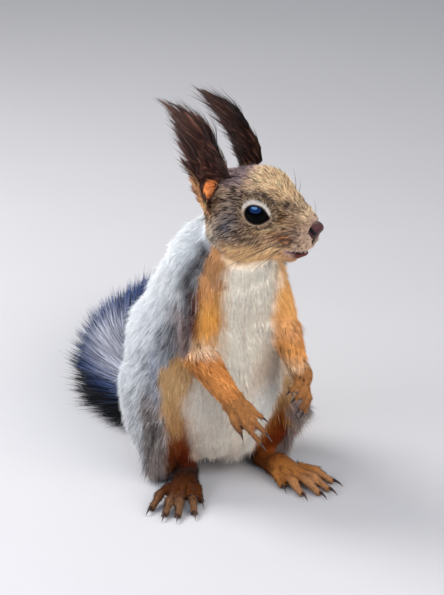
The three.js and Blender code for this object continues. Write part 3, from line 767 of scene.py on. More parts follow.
def body_marks(p):
    """Colour of trunk, haunches and upper arms, some of it painted light and shade, and how grizzled it is. The far
    side is the squirrel's left.
    """
    x, y, z = p.T
    behind = 0.819 * (y - np.interp(z, [60, 80, 100, 120], [19, 17, 6.6, 2.5])) - 0.435 * np.abs(x)
    slant = slant_of(p) - 30 * ramp(behind, 1, 9)
    far = ramp(x, 2, 10)
    near = 1 - far
    white_edge = mix(np.interp(z, *WHITE_NEAR), np.interp(z, *WHITE_FAR), far)
    grey_edge = mix(np.interp(z, *GREY_NEAR), np.interp(z, *GREY_FAR), far)
    back_edge = np.interp(z, *SILVER)
    wobble = 1.5 * scatter_noise(p, 7, 3) + 0.8 * scatter_noise(p, 3, 5)
    cloud = scatter_noise(p * [1, 1, 0.6], 9, 8)

    grey = paint(tint("grey"), (160, 142, 136), ramp(z, 64, 38))
    # Painted light: a blue cast of sky light laid on the grey of the lower flanks.
    c = paint(grey, (150, 160, 182), 0.7 * bell(slant + 34, 5) * bell(z - 60, 13))
    c = paint(c, (96, 96, 102), 0.7 * bell(slant + 28.5, 5) * bell(z - 73, 8) * near)
    # Painted shade: a near-black copy of the grey low at the back of the haunches, where they meet the tail and the
    # floor.
    c = paint(c, grey * 0.17, 0.95 * bell(slant + 36, 5.5) * bell(z - 30, 13))
    c = paint(c, tint("silver"), 0.8 * ramp(slant + wobble, -39, -44) * ramp(z, 60, 40))
    silver = paint(tint("silver"), (216, 218, 222), ramp(z, 76, 52))
    c = paint(c, silver, ramp(slant + wobble * 1.5, back_edge + 5, back_edge - 4) * ramp(z, 28, 52))
    c = paint(c, (98, 62, 52), 0.88 * bell(slant + 20.3 + 1.6 * cloud, 7.6) * ramp(z, 66, 76) * ramp(z, 104, 90) * near)
    line = mix(np.interp(z, *STREAK), grey_edge - 3, far)
    streak = bell(slant - line + wobble, 5.0 + 1.4 * bell(z - 110, 9)) * ramp(z, 80, 90) * ramp(z, 131, 122)
    # Painted light: white laid over the silver on the upper back's sides, brightening where the lamps light it less.
    c = paint(c, (255, 255, 255), 0.6 * bell(slant + 28, 5) * bell(z - 103, 10))
    c = paint(c, tint("slate"), 0.95 * streak)
    warm = ramp(slant + wobble, grey_edge - 1.5, grey_edge + 1.5)
    warm_colour = paint(paint(linear((188, 136, 86)), tint("ochre"), ramp(z, 36, 52)), tint("rufous"), ramp(z, 58, 74))
    # Low down the warm fur turns umber, the near side darker than the far: partly the shanks' own dark colour, partly
    # painted shade.
    warm_colour = paint(blend((120, 54, 18), (150, 82, 30), far), warm_colour, ramp(z - 3 * far, 25, 36))
    warm_colour = paint(warm_colour, blend((190, 134, 92), (222, 176, 126), far), 0.8 * ramp(z, 94, 106))
    c = paint(c, warm_colour, warm)
    c = paint(c, (226, 176, 128), 0.6 * warm * far * ramp(z, 76, 92))
    c = paint(c, (124, 100, 92), 0.7 * far * (1 - warm) * ramp(z, 48, 38))
    # Painted shade: a dark line down the crease behind the near upper arm, where it meets the flank.
    crease_shade = bell(slant + 14, 2.8) * ramp(z, 80, 85) * ramp(z, 110, 101) * near
    c = paint(c, (92, 50, 36), 0.85 * crease_shade)
    white = ramp(slant + wobble, white_edge - 3.0, white_edge + 2.0)
    c = paint(c, tint("white"), white)
    c = paint(c, (226, 184, 136), 0.85 * white * ramp(z, 111, 120))
    c = paint(c, (226, 204, 176), 0.5 * white * bell(z - 62, 12) * ramp(np.abs(x), 6, 14))
    # Painted light: the lower belly painted paler, palest on the far side, where more light falls.
    c = paint(c, blend((250, 226, 208), (255, 246, 238), far), 0.75 * white * ramp(z, 66, 46))
    c = paint(c, tint("ochre"), 0.28 * white * ramp(slant, white_edge + 6, white_edge))
    c = paint(c, (216, 184, 154), 0.6 * white * bell(z - 58, 9) * ramp(x, 0, 8))
    # Painted shadow: a thin dark line down the middle of the breast.
    c = paint(c, (150, 128, 112), 0.6 * bell(x + 0.4, 1.1) * bell(z - 76, 9) * white)
    c = c * (1 + 0.09 * cloud)[:, None]
    grizzle = mix(0.6, 0.18, ramp(slant, grey_edge - 2, grey_edge + 4))
    grizzle = mix(grizzle, 0.5, bell(slant + 19, 8) * ramp(z, 66, 76) * ramp(z, 128, 118) * (1 - warm))
    grizzle = mix(grizzle, 0.0, white)
    grizzle = mix(grizzle, 0.14, ramp(slant, back_edge + 4, back_edge - 4) * ramp(z, 28, 52))
    return c, grizzle


# Spots of the head: colour, strength, place and size, both in head places.
SIDE_SPOTS = [
    ((104, 84, 76), 1, (3, 14, 8), (7, 6, 8)),
    ((82, 82, 94), 0.95, (2, 16, -4), (6.5, 6, 8)),
]
NAPE_SPOTS = [((186, 138, 92), 0.8, (-10, 11, 1), (4.5, 6, 9))]
EYE_SPOTS = [
    ((252, 212, 166), 0.95, (21, 10, -4.5), (6.5, 6, 3.4)),
    ((216, 160, 92), 0.9, (25.2, 10, 3.4), (3, 6, 4.5)),
    ((112, 88, 74), 0.3, (12.5, 15, -8), (5, 6, 4)),
    ((164, 122, 90), 0.8, (30, 9, -1), (4, 6, 4)),
]
CHEEK_SPOTS = [
    ((236, 190, 146), 0.8, (20, 9, -13), (6, 6, 3.4)),
    ((190, 106, 44), 0.9, (26.5, 8, -8), (6.5, 5, 3.2)),
]
MUZZLE_SPOTS = [
    ((112, 86, 68), 0.7, (31, 8, 5.5), (4.5, 6, 3.0)),
    ((96, 70, 54), 0.55, (33.5, 4, 7.5), (4, 3.5, 2.6)),
    ((76, 60, 56), 0.75, (29, 7, 7.8), (5.5, 4.5, 2.8)),
    ((88, 52, 30), 0.92, (32, 7.5, -0.5), (4.5, 5, 3.6)),
]


def head_marks(p):
    """Colour of the head and how grizzled it is."""
    f, l, u = head_places(p).T
    l = np.abs(l)
    places = np.stack([f, l, u], 1)
    wobble = 1.1 * scatter_noise(p, 4, 11) + 0.5 * scatter_noise(p, 2, 12)

    def spotted(c, spots):
        for rgb, strength, place, size in spots:
            c = paint(c, rgb, strength * np.exp(-(((places - place) / size) ** 2).sum(1)))
        return c

    c = spotted(np.tile(linear((146, 112, 88)), (len(p), 1)), SIDE_SPOTS)
    c = paint(c, (180, 166, 154), 0.9 * ramp(f + wobble, 1, -6) * ramp(u, 2, -8))
    c = spotted(c, NAPE_SPOTS)
    top = ramp(u + wobble - (17.5 - 0.36 * f), -2.0, 1.8) * ramp(f, 2, 9)
    c = paint(c, tint("tan"), top)
    c = paint(c, (232, 186, 136), 0.3 * top * bell(f - 26, 8))
    c = paint(c, (124, 104, 116), 0.85 * ramp(f + 1.6 * wobble, 14, 4) * ramp(u, 11, 17))
    brow = bell(u + 0.6 * wobble - (16.2 - 0.27 * f), 1.8) * ramp(f, 5, 10) * ramp(f, 36, 32) * ramp(l, 2, 5)
    c = spotted(paint(c, (80, 62, 54), 0.75 * brow), EYE_SPOTS)
    cheek = ramp(u + wobble, -10.5, -16.5) * ramp(f, -4, 4)
    c = spotted(paint(c, (226, 180, 130), cheek), CHEEK_SPOTS)
    muzzle = ramp(f + wobble, 30, 34)
    c = paint(c, (186, 156, 136), 0.85 * muzzle * ramp(u, 4, -2))
    c = paint(c, (214, 184, 150), 0.8 * muzzle * ramp(u, -1, 4))
    c = paint(c, (176, 150, 140), 0.6 * ramp(f, 38, 41))
    c = spotted(c, MUZZLE_SPOTS)
    beds = bell(u + 3.2 + 0.12 * (f - 28), 0.5) + bell(u + 6.0 + 0.1 * (f - 28), 0.5) + bell(u + 8.7, 0.5)
    c = paint(c, (58, 34, 26), 0.85 * beds * ramp(f, 23, 27) * ramp(f, 38, 34) * (l > 4))
    c = paint(c, (200, 154, 112), ramp(u, -16.2, -17.6) * ramp(f, 18, 26))
    past, turned, height = round_eye(in_head(places), 1)
    ring = ring_mask(past, turned) * (height > -2)
    dusk = bell(past - ring_width(turned) - 2.4, 1.8) * ramp(np.sin(turned + 0.4), 0.1, 0.6) * (height > -6)
    c = paint(c, (58, 46, 50), 0.9 * dusk)
    corner = bell(past - 1.2, 1.6) * ramp(np.cos(turned + 0.35), 0.9, 0.98)
    c = paint(c, (80, 52, 44), 0.6 * corner)
    c = paint(c, ring_colour(turned), ring)
    hollow = ear_hollow(p)
    c = paint(c, (60, 40, 33), hollow)
    g = np.full(len(p), 1.15)
    for value, mask in ((0.4, hollow), (0.8, top * 0.9), (0.3, cheek), (0.75, muzzle), (0.05, ring)):
        g = mix(g, value, mask)
    return c, g


def lip_mask(p):
    """The bare rims of the mouth: 1 on the lips, and 1 inside the mouth."""
    f, l, u = head_places(p).T
    top, low = lip_lines(f)
    gap = np.maximum(u - top, low - u)
    lower = ramp(low - u, 2.9, 2.2) * ramp(low - u, -0.2, 0.2) * ramp(f, 28, 32)
    rims = np.maximum(ramp(gap, 0.9, 0.3) * ramp(f, 25.5, 27.5), lower)
    return rims, ramp(gap, 0.1, -0.5) * ramp(f, 25, 26)


def limb_marks(kind, side, p):
    """Colour of a limb's part, with painted shade on the near shank and foot, and how grizzled it is."""
    y, z = p[:, 1], p[:, 2]
    right = side == "right"
    if kind in ("upper_arm", "thigh"):
        c, g = body_marks(p)
        if kind == "upper_arm":
            elbow = ramp(z, 86, 80) * ramp(slant_of(p), -18.5, -14.5)
            c, g = paint(c, (206, 166, 132), 0.75 * elbow), mix(g, 0.6, elbow)
            if not right:
                front = ramp(y, -9, -14) * ramp(z, 103, 96)
                c, g = paint(c, (222, 160, 96), front), mix(g, 0.15, front)
        return c, g
    shade = 1 + (0.12 if kind == "forearm" else 0.1) * scatter_noise(p, 4, 21)[:, None]
    if kind == "forearm":
        upper = (194, 124, 66) if right else (210, 142, 80)
        c = blend(upper, (196, 128, 70) if right else (218, 176, 140), ramp(z, 72, 62))
        c = paint(c, (222, 190, 164), (0.8 if right else 0.15) * ramp(z, 73, 78))
        return paint(c, (176, 100, 50), 0.7 * ramp(y, -18, -8)) * shade, np.full(len(p), 0.34)
    if kind == "hand":
        return blend((158, 106, 62), (138, 92, 58), ramp(z, 50, 42)) * shade, np.full(len(p), 0.45)
    # Painted shade: the near (right) shank is dark umber and darkest near the floor, the far one lighter; partly the
    # fur's own dark orange.
    if kind == "shank":
        upper = tint("umber") if right else linear((88, 32, 4))
        c = paint(upper, (52, 18, 3) if right else (120, 62, 18), ramp(z, 15, 6))
        return c * shade, np.full(len(p), 0.12)
    # Painted shade: the near (right) foot is painted darker than the far one, darkest towards the heel.
    reach = np.linalg.norm(p[:, :2] - HEEL[side], axis=1)
    c = blend((52, 18, 3) if right else (130, 68, 20), (84, 42, 14) if right else (172, 110, 56), ramp(reach, 11, 26))
    c = paint(c, (124, 90, 66) if right else (182, 132, 92), 0.8 * ramp(reach, 28, 40))
    return c * shade, np.full(len(p), 0.45)


def markings(p):
    """The colour and grizzle at places on the coat, with soft borders between the parts of the body."""
    share, normal = HIDE["share"], HIDE["normal"]
    total, grizzle = np.zeros((len(p), 3)), np.zeros(len(p))
    for name, value in share.items():
        here = value > 0.002
        kind, _, side = name.rpartition("_") if name not in ("torso", "neck", "head") else (name, "", "")
        if kind in ("torso", "neck"):
            c, g = body_marks(p[here])
        elif kind == "head":
            c, g = head_marks(p[here])
        else:
            c, g = limb_marks(kind, side, p[here])
        total[here] += c * value[here, None]
        grizzle[here] += g * value[here]
    lips, inside = lip_mask(HIDE["outer"])
    on_head = share["head"] > 0.5
    q = head_places(HIDE["outer"])
    rim = bell(q[:, 2] - lip_lines(q[:, 0])[0] - 1.0, 0.6) * ramp(q[:, 0], 26, 30)
    total = paint(total, (236, 206, 196), 0.8 * rim * on_head)
    total = paint(total, blend((160, 130, 130), (96, 52, 50), ramp(q[:, 0], 28, 33)), lips * on_head)
    total = paint(total, (58, 26, 25), inside * on_head)
    for side in SIDES:
        pads = share[f"hand_{side}"] * ramp(normal[:, 1], 0.25, 0.6)
        total = paint(total, (150, 104, 104), 0.85 * pads)
    # Painted shade: darker in the clefts between fingers and between toes.
    total = total * (1 - 0.65 * HIDE["cleft"])[:, None]
    return np.clip(total, 0, 1), grizzle


def mark_skin():
    """Colours for the skin, and for the hairs that root there and end further along."""
    outer = HIDE["outer"]
    HIDE["skin_colour"], HIDE["skin_grizzle"] = markings(outer)
    HIDE["colour"], HIDE["grizzle"] = markings(outer + HIDE["flow"] * (0.5 * HIDE["hair"])[:, None])


def lay_coat():
    """The way that the coat lies at each point of the skin, its length, and how dense it is."""
    p, share, normal, web = HIDE["points"], HIDE["share"], HIDE["normal"], HIDE["web"]
    f, l, u = head_places(p).T
    back = ramp(p[:, 1], -5, 35)[:, None]
    side = np.sign(p[:, 0])[:, None] * ramp(np.abs(p[:, 0]), 1, 8)[:, None]
    down = np.array([0.0, 0, -1])
    trunk = down + back * [0, 0.35, 0] + (1 - back) * [0, 0.12, 0]
    trunk = trunk - side * [0.14, 0, 0] * (1 - back) * ramp(p[:, 2], 50, 66)[:, None]
    flow = trunk * (share["torso"] + share["neck"])[:, None]
    skull = -head_way((1, 0, 0)) + head_way((0, 0, -1)) * (0.1 + 0.45 * ramp(u, 4, -10) + 0.8 * ramp(f, 6, -8))[:, None]
    outward = head_way((0, 1, 0)) * (np.sign(l) * ramp(np.abs(l), 1, 6) * ramp(u, 14, 4))[:, None]
    flow += (skull + 0.25 * outward) * share["head"][:, None]
    for name, s in SIDES.items():
        shoulder, elbow, wrist, tips = (np.array(v, float) for v in ARMS[name])
        flow += unit(elbow - shoulder) * share[f"upper_arm_{name}"][:, None]
        flow += unit(wrist - elbow) * share[f"forearm_{name}"][:, None]
        flow += unit(tips - wrist) * share[f"hand_{name}"][:, None]
        flow += np.array([0, 0.1, -1]) * share[f"thigh_{name}"][:, None]
        flow += np.array([0, -0.1, -1]) * share[f"shank_{name}"][:, None]
        a = math.radians(FOOT_TURN[name]) * s
        flow += np.array([math.sin(a), -math.cos(a), 0]) * share[f"foot_{name}"][:, None]
    for _ in range(10):
        flow = web.smooth(flow, 2)
        flow = unit(flow - dot(flow, normal) * normal)

    long = coat().body_length / MM
    short = coat().head_length / MM
    hair = by_part(
        share,
        {"torso": long * 0.85, "neck": long * 0.7, "thigh": long * 0.8, "upper_arm": 6.6, "forearm": 6.0, "shank": 4.8,
         "head": short, "hand": 2.0, "foot": 2.4},
    )
    hair = mix(hair, 2.3, share["head"] * ramp(f, 16, 36))
    hair = mix(hair, 5.8, share["head"] * ramp(f, 12, 0) * ramp(u, 4, -8))
    hollow = ear_hollow(HIDE["outer"])
    hair = mix(hair, 1.8, hollow * share["head"])
    for name in SIDES:
        hair = mix(hair, 3.8, share[f"foot_{name}"] * ramp(np.hypot(*(p[:, :2] - HEEL[name]).T), 20, 8))
        ankle = share[f"shank_{name}"] * ramp(p[:, 2], 22, 12)
        hair = mix(hair, 2.6, ankle)
    low_haunch = (share["thigh_right"] + share["thigh_left"]) * ramp(p[:, 2], 26, 12)
    hair = mix(hair, 12, low_haunch)
    for s in SIDES.values():
        near = np.linalg.norm(p - eye_middle(s), axis=1)
        hair = mix(hair, 1.9, ramp(near, 13, 8))
    fine = by_part(share, {kind: row[1] for kind, row in KINDS.items()})
    fine = mix(fine, 0.28, share["head"] * ramp(f, 16, 36))
    dense = by_part(share, {kind: row[2] for kind, row in KINDS.items()})
    dense = mix(dense, 13, share["head"] * ramp(f, 16, 34))
    dense = dense * (1 - ramp(np.maximum(*lip_mask(HIDE["outer"])) * (share["head"] > 0.5), 0.05, 0.4))
    dense = dense * (1 - 0.8 * HIDE["cleft"])
    for s in SIDES.values():
        past, turned, height = round_eye(p, s)
        edge = 1.25 + 0.6 * np.maximum(0, np.sin(turned)) + 0.5 * np.maximum(0, np.cos(turned))
        dense = np.where((past < edge) & (height > -1), 0, dense)
    fluff = mix(0.45, 0.85, ramp(slant_of(p), -6, -20))
    fluff = mix(fluff, 1.05, share["head"] * ramp(f, -4, 10))
    far_haunch = share["thigh_left"] * bell(p[:, 2] - 30, 13) * ramp(p[:, 1], 16, 4)
    hair, fluff, dense = mix(hair, 12.5, far_haunch), mix(fluff, 1.3, far_haunch), dense * (1 + 0.6 * far_haunch)
    under = share["torso"] * ramp(-normal[:, 2], 0.3, 0.85) * ramp(p[:, 2], 52, 40)
    lobe = 9 + 5 * scatter_noise(p * [1, 0.6, 0.1], 9, 61) - 5 * bell(p[:, 0] + 4, 3)
    hair, fluff = mix(hair, lobe, under), mix(fluff, 1.9, under)
    for part, rise in (("hand", 0.9), ("foot", 0.9), ("shank", 0.6)):
        for name in SIDES:
            fluff = mix(fluff, rise, share[f"{part}_{name}"])
    HIDE.update(flow=flow, hair=web.smooth(hair, 8), fine=fine, dense=dense, fluff=fluff)


# ---- Tufts ----

TUFT_PATCH = (0.0012, 0.003)  # half width and length of a tuft's place on the map
BOX_SPARE = 1.2  # how far hair may pass the solids' box, in millimetres
RINGS = {
    2: (np.array([0.0, 0.5]), np.array([0.85, 0.85])),
    1: (np.array([0.0]), np.array([1.0])),
}


def tuft_mesh(root, bend, tip, side, width, colours, spots, facing, rings, crisp):
    """Flat, tapered tufts as one set of points and triangles, shaded much as the surface that they lie on.

    colours is (root, middle, tip) for each of them, and facing the way that surface faces.
    """
    n = len(root)
    at, profile = RINGS[rings]
    s = at[None, :, None]
    line = (1 - s) ** 2 * root[:, None] + 2 * s * (1 - s) * bend[:, None] + s**2 * tip[:, None]
    along = unit(tip - root)
    side = unit(side - dot(side, along) * along)
    side = side * np.where(dot(np.cross(along, side), facing) < 0, -1, 1)
    up = np.cross(along, side)
    half = (width[:, None] * profile / 2)[..., None]
    ring = np.stack([line + side[:, None] * half, line + up[:, None] * half * 0.6, line - side[:, None] * half], 2)
    size = 3 * rings + 1
    points = np.concatenate([ring.reshape(n, -1, 3), tip[:, None]], 1)
    faces = [[2, 1, 0]]
    for r in range(rings - 1):
        for k in range(3):
            a, b = 3 * r + k, 3 * r + (k + 1) % 3
            faces += [[a, b, b + 3], [a, b + 3, a + 3]]
    last = 3 * (rings - 1)
    faces += [[last + k, last + (k + 1) % 3, size - 1] for k in range(3)]
    faces = (np.arange(n)[:, None, None] * size + np.array(faces)).reshape(-1, 3)
    run = np.concatenate([np.repeat(at, 3), [1.0]])
    low, middle, high = (c[:, None] for c in colours)
    t = run[None, :, None]
    shade = np.where(t < 0.5, mix(low, middle, np.minimum(1, t * 2)), mix(middle, high, np.maximum(0, t * 2 - 1)))
    k = np.concatenate([np.tile([-1, 0, 1], rings), [0]])
    patch = np.stack([k * TUFT_PATCH[0], run * TUFT_PATCH[1]], 1)
    uv = spots[:, None] + patch[None]
    round_off = np.concatenate([np.tile(np.stack([side, up, -side], 1), (1, rings, 1)), up[:, None]], 1)
    normals = unit(unit(facing)[:, None] + crisp * round_off)
    return points.reshape(-1, 3), faces, shade.reshape(-1, 3), uv.reshape(-1, 2), normals.reshape(-1, 3)


def in_cell(about, up, cell):
    """Places on a map, given as shares of one of its cells: left, bottom, right and top."""
    u0, v0, u1, v1 = cell
    return np.stack([mix(u0 + 0.01, u1 - 0.01, about), mix(v0 + 0.01, v1 - 0.01, up)], 1)


def round_unwrap(points, middle, cell=(0, 0, 1, 1)):
    """Places on a map of a rounded form: its angle about the upright and its angle above the level."""
    d = points - np.asarray(middle, float)
    about = np.arctan2(d[:, 0], d[:, 1]) / (2 * math.pi) + 0.5
    return in_cell(about, np.arctan2(d[:, 2], np.hypot(d[:, 0], d[:, 1])) / math.pi + 0.5, cell)


def long_unwrap(points, start, end, cell=(0, 0, 1, 1)):
    """Places on a map of a long form: its angle about the line from start to end and its run along it."""
    start, end = np.asarray(start, float), np.asarray(end, float)
    axis = unit(end - start)
    across = unit(np.cross(axis, [0.31, 0.2, 0.93]))
    third = np.cross(axis, across)
    d = points - start
    about = np.arctan2(d @ third, d @ across) / (2 * math.pi) + 0.5
    run = np.clip((d @ axis) / np.linalg.norm(end - start) * 0.8 + 0.1, 0, 1)
    return in_cell(about, run, cell)


def grizzled(colour_at, grizzle, rng, lock, pale_hair=(236, 230, 222), deep=0.3, bright=1.5):
    """Root, middle and tip colours of hairs: some dark, some pale, the rest between, mostly a lock at a time."""
    n = len(lock)
    draw = np.where(rng.random(n) < 0.82, rng.random(lock.max() + 1)[lock], rng.random(n))
    dark = draw < 0.42 * np.maximum(0, grizzle - 0.15)
    pale = draw > 1 - 0.3 * grizzle
    shade = rng.normal(1, 0.07, n)
    middle = colour_at * shade[:, None]
    middle = np.where(dark[:, None], middle * deep, middle)
    frost = 0.26 * np.minimum(1, 1.6 * grizzle)
    light = np.maximum(middle * 1.3, paint(middle * bright, pale_hair, frost))
    middle = np.where(pale[:, None], light, middle)
    low = middle * mix(0.9, 0.62, np.minimum(1, 1.2 * grizzle))[:, None]
    tip = middle * rng.normal(1.1, 0.06, n)[:, None]
    return low, middle, tip


GUARD_SHARE, GUARD_LENGTH = 0.07, 1.35  # how many hairs stand past the rest, and how far


def grow(name, names, rings, material, slot, unwrap, seed, lean=(38, 10), cells=None, crisp=0.22, **hairs):
    """The coat over some parts of the skin, in pieces small enough to keep whole."""
    rng = np.random.default_rng(seed)
    p, tri = HIDE["points"], HIDE["tri"]
    wanted = np.isin(HIDE["part"], [FLESH.index(n) for n in names])
    tri = tri[wanted[tri[:, 0]]]
    a, b, c = (p[tri[:, k]] for k in range(3))
    area = np.linalg.norm(np.cross(b - a, c - a), axis=1) / 2
    dense = HIDE["dense"][tri].mean(1) * coat().fullness
    weight = area * dense
    count = int(weight.sum())
    pick = np.searchsorted(np.cumsum(weight), rng.random(count) * weight.sum())
    pick = np.minimum(pick, len(tri) - 1)
    r = rng.random((count, 2))
    r = np.where(r.sum(1, keepdims=True) > 1, 1 - r, r)
    share = np.stack([1 - r.sum(1), r[:, 0], r[:, 1]], 1)
    at = lambda values: (values[tri[pick]] * (share[..., None] if values.ndim == 2 else share)).sum(1)
    root, normal, flow = at(p), unit(at(HIDE["normal"])), unit(at(HIDE["flow"]))
    hair, width = at(HIDE["hair"]), at(HIDE["fine"])
    base, grizzle = at(HIDE["colour"]), at(HIDE["grizzle"])

    size = np.clip(hair.mean() * 0.45, 1.2, 4.5)
    cell = np.floor((root + rng.normal(0, size * 0.12, root.shape)) / size).astype(np.int64)
    _, clump = np.unique(cell @ [1, 4096, 16777216], return_inverse=True)
    clump = clump.reshape(-1)
    fine = np.clip(hair.mean() * 0.16, 0.8, 1.15)
    drawn = cells(root) if cells else root / [1, 1, 1.7]
    _, lock = np.unique(np.floor(drawn / fine).astype(np.int64) @ [1, 4096, 16777216], return_inverse=True)
    lock = lock.reshape(-1)
    stray = rng.normal(0, 1, (clump.max() + 1, 3))[clump]
    across = np.cross(normal, flow)
    swing = 0.1 * stray[:, :1] + rng.normal(0, 0.16, (count, 1))
    swing = swing + 0.2 * scatter_noise(root, 14, seed + 1)[:, None]
    way = unit(flow + across * swing)
    hair = hair * rng.uniform(0.62, 1.08, count) * (1 + 0.06 * stray[:, 1])
    hair = hair * np.where(rng.random(count) < GUARD_SHARE, GUARD_LENGTH, 1)
    fluff = at(HIDE["fluff"])
    first = np.radians((lean[0] + rng.normal(0, 9, count) + 4 * stray[:, 2]) * fluff)[:, None]
    second = np.radians((lean[1] + rng.normal(0, 8, count) + 4 * stray[:, 2]) * fluff)[:, None]
    root = root - normal * 0.3
    bend = root + (way * np.cos(first) + normal * np.sin(first)) * hair[:, None] * 0.45
    tip = bend + (way * np.cos(second) + normal * np.sin(second)) * hair[:, None] * 0.58
    number = np.bincount(clump)
    middle = np.stack([np.bincount(clump, tip[:, k]) / number for k in range(3)], 1)[clump]
    tip = mix(tip, middle, 0.12)
    tip[:, 2] = np.maximum(tip[:, 2], 0.35 + 0.4 * rng.random(count))
    bend[:, 2] = np.maximum(bend[:, 2], 0.5)
    root[:, 2] = np.maximum(root[:, 2], 0.3)
    roll = rng.normal(0, 0.3, (count, 1))
    side = np.cross(normal, way) + normal * roll
    width = width * rng.uniform(0.75, 1.2, count)
    colours = grizzled(base, grizzle, rng, lock, **hairs)
    tufted(name, root, bend, tip, side, width, colours, unwrap(root), normal, rings, material, slot, crisp=crisp)


PIECE_LIMIT = 190000  # triangles


def tufted(name, root, bend, tip, side, width, colours, spots, facing, rings, material, slot, *nodes, crisp=0.22):
    """Tufts as pieces within the limit, parted by their places on the map."""
    each = 6 * (rings - 1) + 4
    parts = math.ceil(len(root) * each / PIECE_LIMIT)
    order = np.argsort(spots[:, 0], kind="stable")
    for k, chosen in enumerate(np.array_split(order, parts)):
        data = tuft_mesh(
            root[chosen], bend[chosen], tip[chosen], side[chosen], width[chosen],
            [c[chosen] for c in colours], spots[chosen], facing[chosen], rings, crisp,
        )
        low, high = (body(np.array(corner)) for corner in CAD_BOX)
        points = np.clip(data[0], low - BOX_SPARE, high + BOX_SPARE)
        piece = make_piece(f"{name}_{k + 1}" if parts > 1 else name, points, data[1], data[2], data[3])
        piece.data.normals_split_custom_set_from_vertices(data[4].tolist())
        dress(piece, material, slot, *(nodes if k == 0 else ()))
    print(name, len(root), "tufts,", len(root) * each, "triangles")


# ---- Ears ----


def ear_frame(name):
    """Root of an ear, the way up it, out of its mouth and across it."""
    up, mouth = head_way(EAR_WAY[name]), head_way(EAR_MOUTH[name])
    mouth = unit(mouth - (mouth @ up) * up)
    return in_head(EAR_ROOT[name]), up, mouth, np.cross(up, mouth)


def ear_cup(name, t, share, inset):
    """Points of the ear's cup at shares of its height and width, and the way out of its back there."""
    root, up, mouth, across = ear_frame(name)
    width = mix(6.8, 8.2, np.sin(math.pi * np.minimum(1, t * 1.5))) * np.sqrt(np.maximum(0.03, 1 - t**3)) * 0.97
    depth = mix(6.5, 3.2, t)
    wide = np.radians(mix(125, 62, t))
    front = np.minimum(wide, np.radians(np.interp(t, [0, 0.1, 0.27, 0.37, 0.5], [-20, -12, 12, 45, 125])))
    s = SIDES[name]
    angle = -s * mix(-wide, front, (1 - share * s) / 2)
    x = (width - inset) * np.sin(angle)
    y = -(depth - inset) * np.cos(angle)
    p = root + x[:, None] * across + y[:, None] * mouth + mix(-6, EAR_LENGTH, t)[:, None] * up
    out = np.sin(angle)[:, None] * across - np.cos(angle)[:, None] * mouth
    return p, out


def warm_spot(t, rear):
    """Where the bare warm skin shows at the foot of an ear's cup; rear is 1 at its rear edge."""
    return ramp(((t - 0.3 - 0.1 * rear) / 0.12) ** 2 + ((rear + 0.35) / 0.6) ** 2, 1.3, 0.5)


def build_ear(name, material):
    """The two faces of an ear's cup, joined at its edges."""
    rows, columns = 26, 26
    t, share = np.meshgrid(np.linspace(0, 1, rows), np.linspace(-1, 1, columns), indexing="ij")
    t, share = t.ravel(), share.ravel()
    outer, _ = ear_cup(name, t, share, 0.15)
    inner, _ = ear_cup(name, t, share, 0.9)
    ripple = 0.25 * scatter_noise(inner, 3, 31)
    inner = inner + ripple[:, None] * ear_frame(name)[2]
    n = rows * columns
    quads = grid_faces(rows, columns, closed=False)
    faces = [quads[:, ::-1], quads + n]
    edge = lambda i, j: np.stack([i[:-1], i[1:], j[1:], j[:-1]], 1)
    left, right = np.arange(rows) * columns, np.arange(rows) * columns + columns - 1
    foot, tip = np.arange(columns), (rows - 1) * columns + np.arange(columns)
    faces += [edge(left + n, left), edge(right, right + n), edge(foot, foot + n), edge(tip + n, tip)]
    s = SIDES[name]
    rear = ramp(share * s, -0.2, 0.9)  # towards the edge that faces backwards
    back = np.tile(tint("ear"), (n, 1))
    back = paint(back, (130, 90, 62), 0.7 * ramp(t, 0.3, 0.05) + 0.3 * rear * ramp(t, 0.8, 0.3))
    cup = np.tile(linear((54, 32, 26)), (n, 1))
    cup = paint(cup, (255, 160, 92), warm_spot(t, share * s))
    cup = paint(cup, (120, 62, 46), 0.6 * bell(t - 0.45, 0.08) * bell(share * s, 0.4))
    ob = make_piece(f"ear_{name}_skin", np.vstack([outer, inner]), np.vstack(faces), np.vstack([back, cup]))
    dress(ob, material, "tuft_fur", f"ear_{name}")


EAR_TUFTS = 9400


